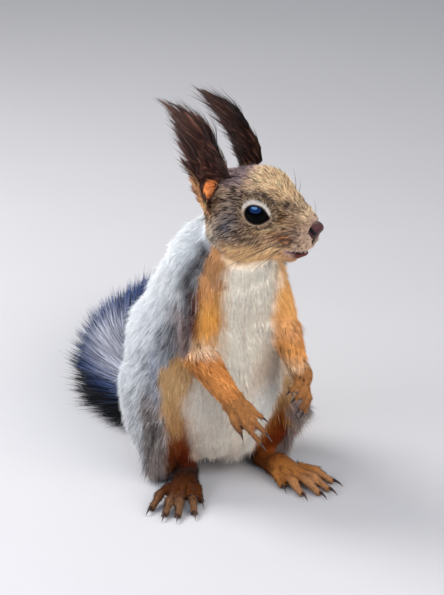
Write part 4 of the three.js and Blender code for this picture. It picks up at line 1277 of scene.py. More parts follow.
def grow_ear(name, material, seed):
    """Long hair from both faces and edges of an ear, swept backwards in wisps into a tuft at its tip."""
    rng = np.random.default_rng(seed)
    s = SIDES[name]
    count = int(EAR_TUFTS * coat().fullness)
    t = rng.random(count) ** 0.75
    share = rng.uniform(-1, 1, count)
    edge = rng.random(count) < 0.25
    share = np.where(edge, np.sign(share) * rng.uniform(0.86, 1, count), share)
    inside = (rng.random(count) < 0.4) & ~edge
    p, out = ear_cup(name, t, share, 0.0)
    q, _ = ear_cup(name, t, share, 1.0)
    root = np.where(inside[:, None], q, p)
    up = ear_frame(name)[1]
    face = np.where(inside[:, None], -out, out * np.where(edge, rng.uniform(-1, 1, count), 1)[:, None])
    sweep = head_way(TUFT_WAY[name])
    reach = coat().tuft_length / MM
    crest = ear_cup(name, np.ones(1), np.zeros(1), 0.5)[0]
    axis = up * 0.4 + sweep * 0.95
    aim = crest + axis * reach
    strand = np.floor(t * 18).astype(int) * 40 + np.floor((share + 1) * 6).astype(int) + 20000 * inside
    strand = np.unique(strand, return_inverse=True)[1].reshape(-1)
    each = lambda draw: draw[strand]
    groups = strand.max() + 1
    stray = each(rng.normal(0, 1, (groups, 3)))
    hair = np.minimum(mix(4.5, 1.2 * reach, t**1.8), np.linalg.norm(aim - root, axis=1))
    hair = hair * each(rng.uniform(0.55, 1.05, groups)) * rng.uniform(0.75, 1.02, count)
    hair = np.where(inside, np.minimum(hair * 0.7, 8 + 10 * t), hair)
    spot = inside & (rng.random(count) < 1.1 * warm_spot(t, share * s))
    hair = np.where(spot, 0.6, hair * (1 - 0.7 * inside * ramp(t, 0.34, 0.22) * bell(share * s + 0.35, 0.6)))
    rear = ramp(share * s, -0.1, 0.9)[:, None]
    loose = (rng.random((count, 1)) < 0.12 + 0.15 * rear) * 1.0
    straight = unit(aim - root)
    curl = 0.35 * inside[:, None] * (t[:, None] < 0.7) * (name == "right")
    wild = (0.08 + curl) * stray
    way = unit(straight * 0.6 + up * 0.5 + face * (0.3 + 0.2 * loose) + 0.2 * rear * sweep + wild)
    late = unit(mix(straight, sweep + 0.4 * up, 0.35 + 0.4 * rear) + face * (0.05 + 0.15 * loose) + wild)
    way = unit(way + rng.normal(0, 0.05, (count, 3)))
    late = unit(late + rng.normal(0, 0.06, (count, 3)) * (1 + loose))
    brim = unit(ear_cup(name, t, share * 1.02, 0)[0] - ear_cup(name, t, share * 0.98, 0)[0])
    brim = brim * (edge * ramp(t, 0.8, 0.4))[:, None]
    way, late = unit(way + 0.7 * brim), unit(late + 0.35 * brim)
    bend = root + way * hair[:, None] * 0.45
    tip = bend + late * hair[:, None] * 0.6
    along = np.clip((tip - crest) @ axis / (axis @ axis) / reach, -0.6, 1.1)
    line = crest + axis * along[:, None] * reach
    narrow = ramp(along, -0.3, 1.0) * (0.45 if name == "right" else 0.8)
    tip = mix(tip, line, narrow[:, None] * (1 - 0.5 * loose))
    middle = each(np.stack([np.bincount(strand, tip[:, k]) / np.bincount(strand) for k in range(3)], 1))
    tip = mix(tip, middle, (0.5 * ramp(t, 0.1, 0.4))[:, None] * (1 - loose))
    root = root - way * 0.5
    # Painted shade: the far (left) ear's hair is darkened, nearly black at its root, and its warm hair is darker than
    # the near ear's.
    depth = np.ones(count) if name == "right" else mix(0.03, 0.3, ramp(t, 0.35, 0.9))
    base = tint("ear") * depth[:, None]
    warm = (rng.random(count) < 0.9 * ramp(share * s, 0.3, 0.85) * ramp(t, 0.55, 0.3)) & ~inside
    warm |= rng.random(count) < 0.25 * ramp(t, 0.2, 0.05) * ~spot
    if name == "left":
        warm |= (rng.random(count) < 0.5 * ramp(share * s, -0.5, -0.9) * ramp(t, 0.9, 0.5))
    base = np.where(warm[:, None], linear((210, 150, 102) if name == "right" else (84, 52, 38)), base)
    base = base * np.exp(rng.normal(-0.05, 0.3, (count, 1)) + 0.35 * stray[:, :1])
    base = np.where(spot[:, None], linear((250, 146, 84)), base)
    pale = (rng.random(count) < 0.14)[:, None]
    tips = np.where(pale, mix(base, linear((170, 132, 118)), 0.6), mix(base, linear((104, 68, 56)), 0.25))
    spots = np.stack([mix(0.02, 0.98, (share + 1) / 2), mix(0.02, 0.98, t)], 1)
    away = unit(tip - root - dot(tip - root, up) * up)
    around = unit(face + 0.9 * away * t[:, None] + 0.5 * rng.normal(0, 1, (count, 3)))
    tufted(f"ear_{name}_coat", root, bend, tip, np.cross(face, late) + 0.4 * rng.normal(0, 1, (count, 3)),
           rng.uniform(0.3, 0.52, count), [base * 0.8, base, tips], spots, around, 2, material, "tuft_fur")


# ---- Tail ----

TAIL_PATH = [[0, 46, 20], [-3, 64, 15], [-4, 86, 14], [0, 107, 14.5], [12, 130, 15.5], [31, 152, 17], [53, 168, 19]]
TAIL_BRUSH = (26, 19)  # half width and half height
TAIL_CORE = (8.5, 6.5)
TAIL_RINGS = 60
TAIL_STEPS = 400  # places along the tail where its hair may root
TAIL_TUFTS = 23000


def tail_full(t):
    """Share of the brush's full size along the tail."""
    return mix(0.85, 1, np.minimum(1, t * 3.5)) * mix(1, 0.62, np.maximum(0, (t - 0.6) / 0.4))


def tail_frames(count):
    """Middle of the tail, the way along it, across it and upwards."""
    centre, along = path(TAIL_PATH, count)
    across = unit(np.array([1.0, 0, 0]) - along[:, :1] * along)
    return centre, along, across, np.cross(across, along)


def build_tail(material):
    """The tail's own skin, a round core under its brush."""
    centre = tail_frames(TAIL_RINGS)[0]
    t = np.linspace(0, 1, TAIL_RINGS)
    slim = tail_full(t) * np.sqrt(np.maximum(0.03, 1 - np.maximum(0, (t - 0.75) / 0.25) ** 2))
    points, faces = tube(centre, np.array([1.0, 0, 0]), TAIL_CORE[0] * slim, TAIL_CORE[1] * slim, 24)
    c = np.tile(tint("tail") * 0.55, (len(points), 1))
    dress(make_piece("tail_skin", points, faces, c), material, "tail_fur", "tail_base", "tail_end")


def grow_tail(material):
    """Long hair all round the tail, swept towards its end, its top painted lighter and its underside darker as light
    and shade.
    """
    rng = np.random.default_rng(23)
    count = int(TAIL_TUFTS * coat().fullness)
    centre, along, across, third = tail_frames(TAIL_STEPS)
    t = rng.random(count) ** 0.96
    k = np.minimum((t * TAIL_STEPS).astype(int), TAIL_STEPS - 1)
    angle = rng.uniform(0, 2 * math.pi, count)
    high, wide = np.sin(angle), np.cos(angle)
    below = high < 0
    high = np.sign(high) * np.abs(high) ** np.where(below, 0.7, 1)
    wide = np.sign(wide) * np.abs(wide) ** np.where(below, 0.4, 0.9)
    radial = across[k] * (wide * TAIL_BRUSH[0])[:, None] + third[k] * (high * TAIL_BRUSH[1])[:, None]
    full = tail_full(t)[:, None]
    strand = np.floor(t * 34).astype(int) * 32 + np.floor(angle / (2 * math.pi) * 26).astype(int)
    stray = rng.normal(0, 1, (strand.max() + 1, 3))[strand]
    reach = full * (0.98 + 0.05 * stray[:, :1]) * (1 - 0.55 * rng.random((count, 1)) ** 1.6)
    run = coat().tail_length / MM * (1 + 0.12 * stray[:, 1:2]) * rng.uniform(0.75, 1.1, (count, 1))
    root = centre[k] + radial * 0.24 * full
    tip = centre[k] + radial * reach + along[k] * run + across[k] * stray[:, 2:3] * 1.6
    tip = tip + rng.normal(0, 1.6, (count, 3))
    bend = mix(root, tip, 0.5) + unit(radial) * rng.uniform(2.5, 5.5, (count, 1))
    tip[:, 2] = np.maximum(tip[:, 2], 0.4 + 0.9 * rng.random(count))
    bend[:, 2] = np.maximum(bend[:, 2], 0.8 + 0.8 * rng.random(count))
    # Painted light and shade: the top is painted paler and bluer as if under the sky, with pale sheen on its tips, and
    # the underside near black, partly the tail's own dark fur.
    above = ramp(high - 0.25 * wide, 0.6, 1.1) * ramp(t, 0.75, 0.35)
    base = mix(linear((6, 9, 16)), tint("tail"), above[:, None])
    base = mix(base, linear((62, 82, 132)), 0.75 * (ramp(high, 0.0, 0.7) * (1 - above))[:, None])
    base = base * np.exp(rng.normal(-0.03, 0.22, (count, 1)) + 0.12 * stray[:, :1])
    dark = rng.random(count)[:, None] < 0.3 * (1 - 0.5 * above[:, None])
    middle = np.where(dark, base * 0.35, base)
    tips = mix(middle, linear((176, 178, 192)), 0.4 * above[:, None] * rng.random((count, 1)))
    tips = np.where(below[:, None] & (rng.random(count)[:, None] < 0.8), middle * 0.5, tips)
    side = np.cross(radial, along[k]) + 4 * rng.normal(0, 1, (count, 3))
    spots = np.stack([mix(0.02, 0.98, angle / (2 * math.pi)), mix(0.02, 0.98, t)], 1)
    tufted("tail_coat", root, bend, tip, side, rng.uniform(0.34, 0.62, count), [base * 0.8, middle, tips], spots,
           unit(unit(radial) + 0.35 * rng.normal(0, 1, (count, 3))), 2, material, "tail_fur")


# ---- Face ----


def ring_colour(turned):
    """Grey cream above the eye and tan below it."""
    return blend((190, 160, 136), (190, 180, 172), ramp(np.sin(turned), -0.5, 0.6))


def build_eye(name, material):
    """An eyeball that bulges a little at its middle."""
    s = SIDES[name]
    out, forward, up = eye_axes(s)
    rows, columns = 40, 56
    angle = np.linspace(0, math.pi, rows + 2)[1:-1]
    about = np.linspace(0, 2 * math.pi, columns, endpoint=False)
    radius = (EYE_RADIUS - 0.08) * (1 + 0.035 * bell(angle, 0.75))
    first = forward if np.cross(forward, up) @ out > 0 else -forward
    ring = (
        (radius * np.cos(angle))[:, None, None] * out
        + (radius * np.sin(angle))[:, None, None] * (np.cos(about)[:, None] * first + np.sin(about)[:, None] * up)
    ).reshape(-1, 3)
    poles = np.stack([out * radius[0], -out * radius[-1]])
    points = eye_middle(s) + np.vstack([ring, poles])
    faces = closed_faces(rows, columns, turned=True)
    iris = np.tile(linear((2, 2, 2)), (len(points), 1))
    turned = np.concatenate([np.repeat(angle, columns), [0, math.pi]])
    iris = paint(iris, (1, 1, 2), ramp(turned, 0.62, 0.45))
    iris = paint(iris, (60, 40, 36), ramp(turned, 1.25, 1.45))
    dress(make_piece(f"eye_{name}_ball", points, faces, iris), material, "eye", f"eye_{name}")


def eye_material():
    n = Nodes("wet_eye", Roughness=0.04, Specular_IOR_Level=0.06, IOR=1.4)
    n.marked(300, 0.85, 1.15)
    return n.material


# The lid's section: past the opening and out from the ball, and how dark it is there.
LID = [
    (-0.1, -0.7), (0.0, 0.14), (0.22, 0.42), (0.6, 0.5), (1.0, 0.36), (1.6, -0.15), (2.4, -1.2), (3.2, -2.6),
    (3.0, -3.6), (0.6, -2.2),
]
LID_DARK = [1, 1, 1, 0.95, 0.45, 0, 0, 0, 0, 0.5]
LID_COLUMNS = 72
LID_TUFTS = 3000


def lid_ring(turned, forward, up):
    """The opening, the ball's height there, the way outwards and the lid's width at angles round an eye."""
    opening = lid_opening(turned)
    around = np.cos(turned)[:, None] * forward + np.sin(turned)[:, None] * up
    return opening, ball_height(opening), around, 1 + 0.25 * np.maximum(0, np.sin(turned))


def build_lids(name, material):
    """A rounded rim of skin round the eye."""
    s = SIDES[name]
    out, forward, up = eye_axes(s)
    turned = np.linspace(0, 2 * math.pi, LID_COLUMNS, endpoint=False)
    opening, ball, around, brow = lid_ring(turned, forward, up)
    rings = []
    for across, height in LID:
        reach = opening + across * brow
        rise = ball + height + 0.12 * np.maximum(0, np.sin(turned))
        rings.append(eye_middle(s) + around * reach[:, None] + rise[:, None] * out)
    points = np.stack(rings, 1).reshape(-1, 3)
    rows = len(LID)
    i, j = np.meshgrid(np.arange(LID_COLUMNS), np.arange(rows), indexing="ij")
    at = lambda a, b: ((a % LID_COLUMNS) * rows + b % rows).ravel()
    quads = np.stack([at(i, j), at(i + 1, j), at(i + 1, j + 1), at(i, j + 1)], 1)
    if np.cross(forward, up) @ out < 0:
        quads = quads[:, ::-1]
    dark = np.tile(np.array(LID_DARK), LID_COLUMNS)
    past = (np.array([a for a, _ in LID])[None, :] * brow[:, None]).ravel()
    pale = ring_mask(past, np.repeat(turned, rows))
    c = mix(np.tile(linear((96, 74, 60)), (len(points), 1)), ring_colour(np.repeat(turned, rows)), pale[:, None])
    c = mix(c, linear((18, 12, 12)), dark[:, None])
    front = np.repeat(bell((turned + math.pi) % (2 * math.pi) - math.pi, 0.3), rows) * (dark > 0.9)
    c = paint(c, (70, 40, 40), 0.5 * front)
    dress(make_piece(f"lids_{name}", points, quads, c), material, "russet_fur")


def grow_lids(name, material):
    """Short pale hair that fans from the rim of the lids."""
    rng = np.random.default_rng(41 if name == "left" else 40)
    s = SIDES[name]
    out, forward, up = eye_axes(s)
    count = LID_TUFTS
    turned = rng.uniform(0, 2 * math.pi, count)
    opening, ball, around, brow = lid_ring(turned, forward, up)
    away = rng.uniform(0.7, 2.9, count)
    height = np.interp(away, [0.6, 1.0, 1.6, 2.4, 3.2], [0.5, 0.36, -0.15, -1.2, -2.6])
    root = eye_middle(s) + around * (opening + away * brow)[:, None] + (ball + height - 0.1)[:, None] * out
    front = np.maximum(0, np.cos(turned))[:, None]
    back = -forward * (1 - 0.95 * front) + around * (0.5 + 0.6 * front)
    slope = np.interp(away, [0.6, 1.6, 3], [-0.1, -0.45, -0.9])[:, None]
    way = unit(back + out * (slope + 0.5) + rng.normal(0, 0.12, (count, 3)))
    late = unit(back + out * (slope + 0.1) + rng.normal(0, 0.1, (count, 3)))
    hair = rng.uniform(1.2, 1.9, (count, 1)) * (1 + 0.35 * (away > 1.3))[:, None]
    bend = root + way * hair * 0.5
    tip = bend + late * hair * 0.5
    pale = ring_mask(away * brow + hair[:, 0] * 0.35, turned)[:, None]
    draw = rng.random(1200)[(np.floor(turned * 28) * 6 + np.floor(away / 0.8)).astype(int)][:, None]
    speckled = linear((124, 102, 82)) * np.where(draw < 0.42, 0.22, np.where(draw > 0.7, 1.7, 0.9))
    base = mix(speckled, ring_colour(turned), pale) * rng.normal(1, 0.08, (count, 1))
    reach = 0.12 * (opening + away) / 8
    spots = np.stack([0.5 + reach * np.cos(turned), 0.5 + reach * np.sin(turned)], 1)
    tufted(f"lid_{name}_coat", root, bend, tip, np.cross(out, way), rng.uniform(0.2, 0.3, count),
           [base * 0.8, base, base * 1.06], spots, np.tile(out, (count, 1)) + around * 0.4, 2, material, "russet_fur")


def blob_field(q, centre, half):
    """Rough distance from an ellipsoid given in head places."""
    d = q - np.asarray(centre, float)
    half = np.asarray(half, float)
    k0 = np.linalg.norm(d / half, axis=1)
    k1 = np.linalg.norm(d / half**2, axis=1)
    return k0 * (k0 - 1) / np.maximum(k1, 1e-9)


def nose_field(q):
    """Rough distance from the nose pad, four forms that run into each other."""
    parts = [
        blob_field(q, (40.1, 0, -3.0), (3.5, 3.8, 2.9)),
        blob_field(q, (39.4, 2.6, -4.2), (3.5, 2.3, 2.7)),
        blob_field(q, (39.4, -2.6, -4.2), (3.5, 2.3, 2.7)),
        blob_field(q, (39.4, 0, -6.3), (2.4, 1.6, 2.4)),
    ]
    d = parts[0]
    for other in parts[1:]:
        h = np.maximum(1.5 - np.abs(d - other), 0) / 1.5
        d = np.minimum(d, other) - h * h * 1.5 / 4
    return d


def build_nose(material):
    """The bare nose, with two nostrils and a cleft."""
    rows, columns = 60, 72
    polar = np.linspace(0, math.pi, rows + 2)[1:-1]
    about = np.linspace(0, 2 * math.pi, columns, endpoint=False)
    way = np.stack([
        np.repeat(np.cos(polar), columns),
        np.outer(np.sin(polar), np.cos(about)).ravel(),
        np.outer(np.sin(polar), np.sin(about)).ravel(),
    ], 1)
    way = np.vstack([way, [1, 0, 0], [-1, 0, 0]])
    centre = np.array([40.2, 0, -4.4])
    near, far = np.zeros(len(way)), np.full(len(way), 9.0)
    for _ in range(24):
        middle = (near + far) / 2
        inside = nose_field(centre + way * middle[:, None]) < 0
        near, far = np.where(inside, middle, near), np.where(inside, far, middle)
    q = centre + way * (near + 0.06)[:, None]
    hole = np.full(len(q), 9.0)
    for s in (-1, 1):
        line, _ = path([[39.2, 4.3 * s, -1.8], [40.9, 4.7 * s, -3.2], [42.3, 4.2 * s, -4.8], [42.9, 2.6 * s, -5.9]], 24)
        hole = np.minimum(hole, np.linalg.norm(q[:, None] - line, axis=2).min(1))
    cleft = bell(q[:, 1], 0.3) * ramp(q[:, 2], -3.5, -5) * (q[:, 0] > 40)
    q = q - way * (0.9 * bell(hole, 0.8) + 0.35 * cleft)[:, None]
    c = np.tile(linear((57, 29, 31)), (len(q), 1))
    c = paint(c, (76, 47, 48), ramp(q[:, 2], -3.5, -0.5))
    c = paint(c, (160, 136, 126), 0.7 * ramp(q[:, 2] + 0.3 * (40 - q[:, 0]), -1.2, 0.4))
    c = paint(c, (66, 38, 40), ramp(q[:, 2], -5, -8))
    c = paint(c, (8, 3, 4), ramp(hole, 1.35, 0.7))
    c = paint(c, (40, 22, 24), 0.7 * cleft)
    faces = closed_faces(rows, columns)
    points = in_head(q)
    a, b, d = (points[faces[:, k]] for k in range(3))
    if (np.cross(b - a, d - a) * (a + b + d - 3 * points.mean(0))).sum() < 0:
        faces = faces[:, ::-1]
    dress(make_piece("nose_pad", points, faces, c), material, "nose_skin", "nose")


def nose_material():
    n = Nodes("damp_nose", Specular_IOR_Level=0.3, Coat_Weight=0.06, Coat_Roughness=0.3)
    n.marked(900, 0.9, 1.1)
    n.rough(1200, 0.34, 0.55)
    cells = n.add("ShaderNodeTexVoronoi")
    cells.inputs["Scale"].default_value = 2600
    n.link(n.object, cells.inputs["Vector"])
    n.bump(cells.outputs["Distance"], 0.35, 0.00012)
    return n.material


# Whiskers: where each leaves the muzzle, the way it starts, and how it sweeps, in head places.
WHISKER_ROWS = [
    ((33.5, 7.6, -3.0), (-0.55, 0.75, -0.05), (-1, 0.25, -0.42), 46),
    ((31.0, 8.2, -4.6), (-0.6, 0.75, -0.1), (-1, 0.22, -0.5), 44),
    ((32.5, 7.8, -6.2), (-0.55, 0.75, -0.2), (-1, 0.2, -0.62), 40),
    ((30.0, 8.0, -7.6), (-0.6, 0.7, -0.3), (-1, 0.15, -0.75), 38),
    ((34.0, 6.8, -8.0), (-0.5, 0.75, -0.35), (-0.9, 0.2, -0.9), 32),
    ((31.5, 7.2, -9.6), (-0.5, 0.7, -0.45), (-0.8, 0.15, -1.0), 27),
    ((35.5, 6.4, -4.0), (-0.2, 0.9, 0.1), (-0.5, 0.6, 0.2), 24),
    ((35.0, 6.2, -10.2), (-0.2, 0.8, -0.5), (-0.5, 0.3, -1.0), 18),
    ((27.0, 8.0, 9.0), (0.1, 0.7, 0.7), (-0.4, 0.3, 0.9), 9),
    ((25.0, 8.4, 9.6), (0.0, 0.7, 0.75), (-0.5, 0.3, 0.8), 11),
]
WHISKER_THICKNESS = 0.16
WHISKER_POINTS = 18


def whisker_tree(material):
    """Geometry Nodes: thickens lines into tapered whiskers."""
    tree = bpy.data.node_groups.new("whiskers", "GeometryNodeTree")
    socket = tree.interface.new_socket
    socket("Geometry", in_out="INPUT", socket_type="NodeSocketGeometry")
    thickness = socket("Thickness", in_out="INPUT", socket_type="NodeSocketFloat")
    socket("Geometry", in_out="OUTPUT", socket_type="NodeSocketGeometry")
    kinds = {
        "start": "NodeGroupInput", "end": "NodeGroupOutput", "curve": "GeometryNodeMeshToCurve",
        "thick": "GeometryNodeSetCurveRadius", "round": "GeometryNodeCurvePrimitiveCircle",
        "sweep": "GeometryNodeCurveToMesh", "run": "GeometryNodeSplineParameter", "taper": "ShaderNodeMapRange",
        "times": "ShaderNodeMath", "real": "GeometryNodeRealizeInstances", "finish": "GeometryNodeSetMaterial",
        "smooth": "GeometryNodeSetShadeSmooth",
    }
    node = {name: tree.nodes.new(kind) for name, kind in kinds.items()}
    node["times"].operation = "MULTIPLY"
    for name, key, value in (
        ("round", "Resolution", 6), ("round", "Radius", 1.0), ("taper", "To Min", 1.0), ("taper", "To Max", 0.16),
        ("sweep", "Fill Caps", True), ("finish", "Material", material),
    ):
        node[name].inputs[key].default_value = value
    for a, leaves, b, enters in (
        ("start", "Geometry", "curve", "Mesh"), ("curve", "Curve", "thick", "Curve"),
        ("run", "Factor", "taper", "Value"), ("taper", "Result", "times", 0), ("start", "Thickness", "times", 1),
        ("times", 0, "thick", "Radius"), ("thick", "Curve", "sweep", "Curve"),
        ("round", "Curve", "sweep", "Profile Curve"), ("times", 0, "sweep", "Scale"),
        ("sweep", "Mesh", "smooth", "Geometry"), ("smooth", "Geometry", "real", "Geometry"),
        ("real", "Geometry", "finish", "Geometry"), ("finish", "Geometry", "end", "Geometry"),
    ):
        if enters != "Scale" or "Scale" in node[b].inputs:
            tree.links.new(node[a].outputs[leaves], node[b].inputs[enters])
    return tree, thickness.identifier


def build_whiskers(material):
    """Whiskers of both sides, and a few stiff hairs over the eyes."""
    rng = np.random.default_rng(5)
    lines, edges, base = [], [], 0
    lo, hi = (body(np.array(corner)) for corner in CAD_BOX)
    for s in (-1, 1):
        for root, start, sweep, reach in WHISKER_ROWS:
            for extra in range(2 if reach > 30 else 1):
                mirrored = lambda v: np.array([v[0], v[1] * s, v[2]])
                a = in_head(mirrored(root) + rng.normal(0, 0.4, 3) * (extra > 0))
                first = head_way(mirrored(start) + rng.normal(0, 0.07, 3))
                late = head_way(mirrored(sweep) + rng.normal(0, 0.09, 3))
                size = reach * rng.uniform(0.8, 1.05)
                t = np.linspace(0, 1, WHISKER_POINTS)[:, None]
                b, c = a + first * size * 0.35, a + first * size * 0.35 + late * size * 0.65
                line = (1 - t) ** 2 * (a - first) + 2 * t * (1 - t) * b + t**2 * c
                lines.append(np.clip(line, lo - 1, hi + 1))
                edges.append(np.stack([np.arange(WHISKER_POINTS - 1), np.arange(1, WHISKER_POINTS)], 1) + base)
                base += WHISKER_POINTS
    mesh = bpy.data.meshes.new("whiskers")
    mesh.from_pydata(world(np.vstack(lines)).tolist(), np.vstack(edges).tolist(), [])
    ob = bpy.data.objects.new("whiskers", mesh)
    bpy.context.scene.collection.objects.link(ob)
    tree, thickness = whisker_tree(material)
    change = ob.modifiers.new("whiskers", "NODES")
    change.node_group = tree
    change[thickness] = WHISKER_THICKNESS * MM
    made = bpy.data.meshes.new_from_object(ob.evaluated_get(bpy.context.evaluated_depsgraph_get()))
    ob.modifiers.remove(change)
    ob.data = made
    dress(ob, material, "tuft_fur")


def whisker_material():
    n = Nodes("whisker_horn", Roughness=0.35, Specular_IOR_Level=0.5)
    shade = n.add("ShaderNodeValToRGB")
    shade.color_ramp.elements[0].color = (*linear((30, 22, 20)), 1)
    shade.color_ramp.elements[1].color = (*linear((86, 70, 62)), 1)
    n.link(n.noise(60), shade.inputs["Fac"])
    n.link(shade.outputs["Color"], n.shader.inputs["Base Color"])
    return n.material


# ---- Claws ----


CLAW_RINGS, CLAW_SIDES = 14, 12


def build_claw(node, material):
    """A curved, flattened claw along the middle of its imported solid."""
    p, _ = shell(node)
    paw = node.replace("finger_claw", "hand").replace("toe_claw", "foot")[:-2]
    middle = box_middle(paw) - ORIGIN
    tip = p[np.argmax(np.linalg.norm(p - middle, axis=1))]
    far = np.linalg.norm(p - tip, axis=1)
    root = p[far > 0.78 * far.max()].mean(0)
    axis = unit(tip - root)
    span = np.linalg.norm(tip - root)
    run = (p - root) @ axis / span
    near = (run > 0.3) & (run < 0.72)
    bend = p[near].mean(0) if near.sum() > 2 else (root + tip) / 2
    upward = np.array([0, 0, 1.0]) if "toe" in node else unit(np.array([0, -1.0, 0.35]))
    bend = bend + upward * 0.25
    t = np.linspace(0, 1, CLAW_RINGS)[:, None]
    line = (1 - t) ** 2 * root + 2 * t * (1 - t) * bend + t**2 * tip
    line = line - axis * 0.5 * (1 - t)
    slim = (1 - t[:, 0] ** 1.5) * 0.92 + 0.08
    side = unit(np.cross(axis, upward))
    points, faces = tube(line, side, 0.62 * slim, 0.98 * slim, CLAW_SIDES)
    points[:, 2] = np.maximum(points[:, 2], 0.05)
    shade = np.concatenate([np.repeat(t[:, 0], CLAW_SIDES), [0, 1]])
    c = blend((38, 30, 32), (70, 56, 54), ramp(shade, 0.2, 0.6))
    c = paint(c, (128, 104, 92), 0.7 * ramp(shade, 0.78, 1.0))
    c = paint(c, (96, 62, 44), ramp(shade, 0.12, 0.0))
    dress(make_piece(node + "_horn", points, faces, c), material, "claw", node)


def claw_material():
    n = Nodes("claw_horn", Specular_IOR_Level=0.35, Coat_Weight=0.1, Coat_Roughness=0.25)
    n.marked(700, 0.8, 1.2)
    n.rough(900, 0.25, 0.42)
    n.bump(n.noise(1800, 2), 0.2, 0.0001)
    return n.material


# ---- Operators ----


class SQUIRREL_OT_skin(bpy.types.Operator):
    """One skin over trunk, head and limbs, under the coat"""

    bl_idname = "squirrel.skin"
    bl_label = "Skin"

    def execute(self, context):
        build_skin()
        lay_coat()
        mark_skin()
        shade = HIDE["skin_colour"] * mix(0.86, 0.74, HIDE["skin_grizzle"])[:, None]
        skin = make_piece("squirrel_skin", HIDE["points"], HIDE["quads"], shade)
        thin = skin.modifiers.new("thin", "DECIMATE")
        thin.ratio = shape().skin_share
        skin.data = bpy.data.meshes.new_from_object(skin.evaluated_get(context.evaluated_depsgraph_get()))
        skin.modifiers.remove(thin)
        print("skin", len(HIDE["quads"]) * 2, "to", sum(len(f.vertices) - 2 for f in skin.data.polygons), "triangles")
        dress(skin, skin_material(), "russet_fur", *FLESH)
        return {"FINISHED"}


class SQUIRREL_OT_trunk_coat(bpy.types.Operator):
    """Coat of the trunk, neck and haunches"""

    bl_idname = "squirrel.trunk_coat"
    bl_label = "Trunk coat"

    def execute(self, context):
        fur = fur_material("body_fur", through=0.35)
        grow("trunk_coat", ["torso", "neck"], 1, fur, "white_fur", lambda q: round_unwrap(q, (0, 14, 66)), 101)
        half = {-1: (0, 0, 0.5, 1), 1: (0.5, 0, 1, 1)}
        pair = lambda q: np.where(
            q[:, :1] < 0, round_unwrap(q, (-26, 16, 38), half[-1]), round_unwrap(q, (26, 16, 38), half[1])
        )
        grow("haunch_coat", ["thigh_right", "thigh_left"], 1, fur, "grey_fur", pair, 102)
        return {"FINISHED"}


class SQUIRREL_OT_limb_coat(bpy.types.Operator):
    """Coat of the arms, hands, shanks and feet"""

    bl_idname = "squirrel.limb_coat"
    bl_label = "Limb coat"

    def execute(self, context):
        fur = fur_material("limb_fur")

        def arms(q):
            r, l = ARMS["right"], ARMS["left"]
            return np.where(
                q[:, :1] < 0, long_unwrap(q, r[0], r[3], (0, 0, 0.5, 1)), long_unwrap(q, l[0], l[3], (0.5, 0, 1, 1))
            )

        def legs(q):
            return np.where(
                q[:, :1] < 0,
                long_unwrap(q, (-19, 3, 4), (-44, -38, 4), (0, 0, 0.5, 1)),
                long_unwrap(q, (20, 0, 4), (26, -46, 4), (0.5, 0, 1, 1)),
            )

        short = {"crisp": 0.5}
        for part, rings, slot, unwrap, seed, lean, hairs in (
            ("upper_arm", 1, "grey_fur", arms, 103, (36, 12), {}),
            ("forearm", 2, "russet_fur", arms, 104, (34, 16), {"pale_hair": (250, 190, 130)}),
            ("hand", 1, "russet_fur", arms, 105, (34, 14), {"pale_hair": (232, 150, 76), **short}),
            ("shank", 2, "russet_fur", legs, 106, (30, 12), {"pale_hair": (160, 80, 30)}),
            ("foot", 1, "russet_fur", legs, 107, (34, 12), {"pale_hair": (226, 140, 62), **short}),
        ):
            names = [f"{part}_right", f"{part}_left"]
            grow(f"{part}_coat", names, rings, fur, slot, unwrap, seed, lean=lean, **hairs)
        return {"FINISHED"}


class SQUIRREL_OT_head_coat(bpy.types.Operator):
    """Short coat of the head"""

    bl_idname = "squirrel.head_coat"
    bl_label = "Head coat"

    def execute(self, context):
        unwrap = lambda q: long_unwrap(q, in_head([-16, 0, -3]), in_head([40, 0, -6]))
        strokes = lambda q: head_places(q) / [2.5, 0.6, 0.6]
        grow("head_coat", ["head"], 1, fur_material("head_fur"), "russet_fur", unwrap, 108, lean=(34, 12),
             cells=strokes, crisp=0.5, pale_hair=(240, 214, 176), deep=0.2, bright=1.66)
        return {"FINISHED"}


class SQUIRREL_OT_ears(bpy.types.Operator):
    """Cups of the ears and their long tufts"""

    bl_idname = "squirrel.ears"
    bl_label = "Ears"

    def execute(self, context):
        skin, fur = skin_material(), fur_material("ear_fur", 0.8, 1.2)
        for name, seed in (("right", 7), ("left", 11)):
            build_ear(name, skin)
            grow_ear(name, fur, seed)
        return {"FINISHED"}


class SQUIRREL_OT_tail(bpy.types.Operator):
    """The tail and its brush"""

    bl_idname = "squirrel.tail"
    bl_label = "Tail"

    def execute(self, context):
        build_tail(skin_material())
        grow_tail(fur_material("tail_hair", 0.8, 1.15))
        return {"FINISHED"}


class SQUIRREL_OT_face(bpy.types.Operator):
    """Eyes, lids, nose and whiskers"""

    bl_idname = "squirrel.face"
    bl_label = "Face"

    def execute(self, context):
        eye, skin, fur = eye_material(), skin_material(), fur_material("lid_fur")
        for name in SIDES:
            build_eye(name, eye)
            build_lids(name, skin)
            grow_lids(name, fur)
        build_nose(nose_material())
        build_whiskers(whisker_material())
        return {"FINISHED"}


class SQUIRREL_OT_claws(bpy.types.Operator):
    """Claws of hands and feet"""

    bl_idname = "squirrel.claws"
    bl_label = "Claws"

    def execute(self, context):
        horn = claw_material()
        for node in sorted(frame["nodes"]):
            if "claw" in node:
                build_claw(node, horn)
        return {"FINISHED"}


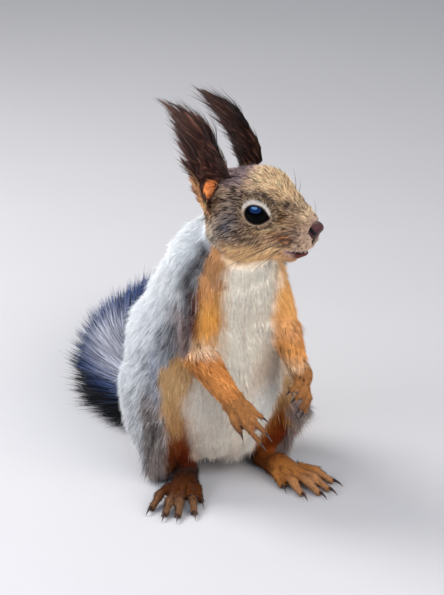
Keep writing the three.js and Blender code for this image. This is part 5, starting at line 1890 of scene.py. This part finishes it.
class SQUIRREL_OT_stage(bpy.types.Operator):
    """Floor, soft light and camera"""

    bl_idname = "squirrel.stage"
    bl_label = "Stage"

    def execute(self, context):
        stage = context.scene.squirrel_stage
        n = Nodes("floor", Roughness=0.85, Specular_IOR_Level=0.15)
        shade = n.add("ShaderNodeMix", data_type="RGBA")
        shade.inputs["A"].default_value = (*[0.97 * v for v in stage.floor], 1)
        shade.inputs["B"].default_value = (*[min(1, 1.03 * v) for v in stage.floor], 1)
        n.link(n.noise(9, 4), shade.inputs["Factor"])
        n.link(shade.outputs["Result"], n.shader.inputs["Base Color"])
        half = 1600  # millimetres from the middle of the floor to its edges
        corners = np.array([[-1, -1, 0], [1, -1, 0], [1, 1, 0], [-1, 1, 0]]) * half - [0, 0, 0.02]
        floor = make_piece("floor", corners, [[0, 1, 2, 3]])
        floor.data.materials.append(n.material)

        sky = bpy.data.worlds.new("sky")
        sky.use_nodes = True
        ground = sky.node_tree.nodes["Background"]
        ground.inputs["Color"].default_value = (0.86, 0.92, 1.0, 1)
        ground.inputs["Strength"].default_value = stage.sky
        context.scene.world = sky
        context.scene.view_settings.view_transform = "Standard"
        lamps = [
            ("back_light", (-300, 480, 600), (0, 20, 90), 420, (1.0, 0.99, 0.97), 6.2, False),
            ("side_light", (-640, -40, 380), (0, 0, 80), 460, (0.93, 0.96, 1.0), 2.6, False),
            ("front_light", (240, -740, 380), (0, 0, 80), 900, (1.0, 0.96, 0.9), 8.0, False),
            ("sky_light", (-300, -420, 640), (0, -10, 140), 300, (0.55, 0.74, 1.0), 1.2, False),
            ("eye_light", (-400, -360, 660), (-10, -20, 145), 1750, (0.08, 0.26, 1.0), 140.0, True),
            ("eye_glint", (-400, -160, 800), (-10, -20, 145), 800, (0.24, 0.56, 1.0), 110.0, True),
        ]
        eyes = bpy.data.collections.new("eyes")
        for side in SIDES:
            eyes.objects.link(bpy.data.objects[f"eye_{side}_ball"])
        for name, place, aim, width, rgb, power, mirrored in lamps:
            light = bpy.data.lights.new(name, "AREA")
            light.size = width * MM
            light.energy = power
            light.color = rgb
            light.shape = "ELLIPSE" if mirrored else "DISK"
            light.size_y = 0.62 * width * MM
            ob = bpy.data.objects.new(name, light)
            context.scene.collection.objects.link(ob)
            if mirrored:
                ob.light_linking.receiver_collection = eyes
            ob.visible_glossy = mirrored
            ob.visible_diffuse = not mirrored
            ob.location = world(place)
            ob.rotation_mode = "QUATERNION"
            ob.rotation_quaternion = Vector(np.array(aim, float) - place).to_track_quat("-Z", "Y")

        camera = bpy.data.objects.new("camera", bpy.data.cameras.new("camera"))
        context.scene.collection.objects.link(camera)
        # 28 degrees to the right of the chest's direction, and 22 above the floor
        right, up = np.array([0.8829, -0.4695, 0]), np.array([0.1759, 0.3307, 0.9272])
        back = np.array([-0.4353, -0.8187, 0.3746])
        target, away, view_height = -1.46 * right + 85.1 * up, 1500, 595 / 2.05
        camera.location = world(target + away * back)
        camera.rotation_mode = "QUATERNION"
        camera.rotation_quaternion = Matrix(np.stack([right, up, back], 1).tolist()).to_quaternion()
        camera.data.sensor_width = 36
        camera.data.lens = camera.data.sensor_width * away / view_height
        camera.data.clip_start, camera.data.clip_end = 0.05, 20
        context.scene.camera = camera
        return {"FINISHED"}


PIECES = [
    SQUIRREL_OT_skin, SQUIRREL_OT_trunk_coat, SQUIRREL_OT_limb_coat, SQUIRREL_OT_head_coat, SQUIRREL_OT_ears,
    SQUIRREL_OT_tail, SQUIRREL_OT_face, SQUIRREL_OT_claws, SQUIRREL_OT_stage,
]


class SQUIRREL_PT_panel(bpy.types.Panel):
    """The squirrel's sizes, colours and pieces"""

    bl_idname = "SQUIRREL_PT_panel"
    bl_label = "Squirrel"
    bl_space_type = "VIEW_3D"
    bl_region_type = "UI"
    bl_category = "Squirrel"

    def draw(self, context):
        for group in ("squirrel_shape", "squirrel_coat", "squirrel_stage"):
            box = self.layout.box()
            settings = getattr(context.scene, group)
            for key in settings.bl_rna.properties.keys():
                if key not in ("rna_type", "name"):
                    box.prop(settings, key)
        for operator in PIECES:
            self.layout.operator(operator.bl_idname)


SETTINGS = {"squirrel_shape": SquirrelShape, "squirrel_coat": SquirrelCoat, "squirrel_stage": SquirrelStage}


def register():
    for kind in (*SETTINGS.values(), *PIECES, SQUIRREL_PT_panel):
        bpy.utils.register_class(kind)
    for name, kind in SETTINGS.items():
        setattr(bpy.types.Scene, name, bpy.props.PointerProperty(type=kind))


def unregister():
    for name in SETTINGS:
        delattr(bpy.types.Scene, name)
    for kind in reversed((*SETTINGS.values(), *PIECES, SQUIRREL_PT_panel)):
        bpy.utils.unregister_class(kind)


def main():
    register()
    for operator in PIECES:
        group, name = operator.bl_idname.split(".")
        getattr(getattr(bpy.ops, group), name)()


if __name__ == "__main__":
    main()
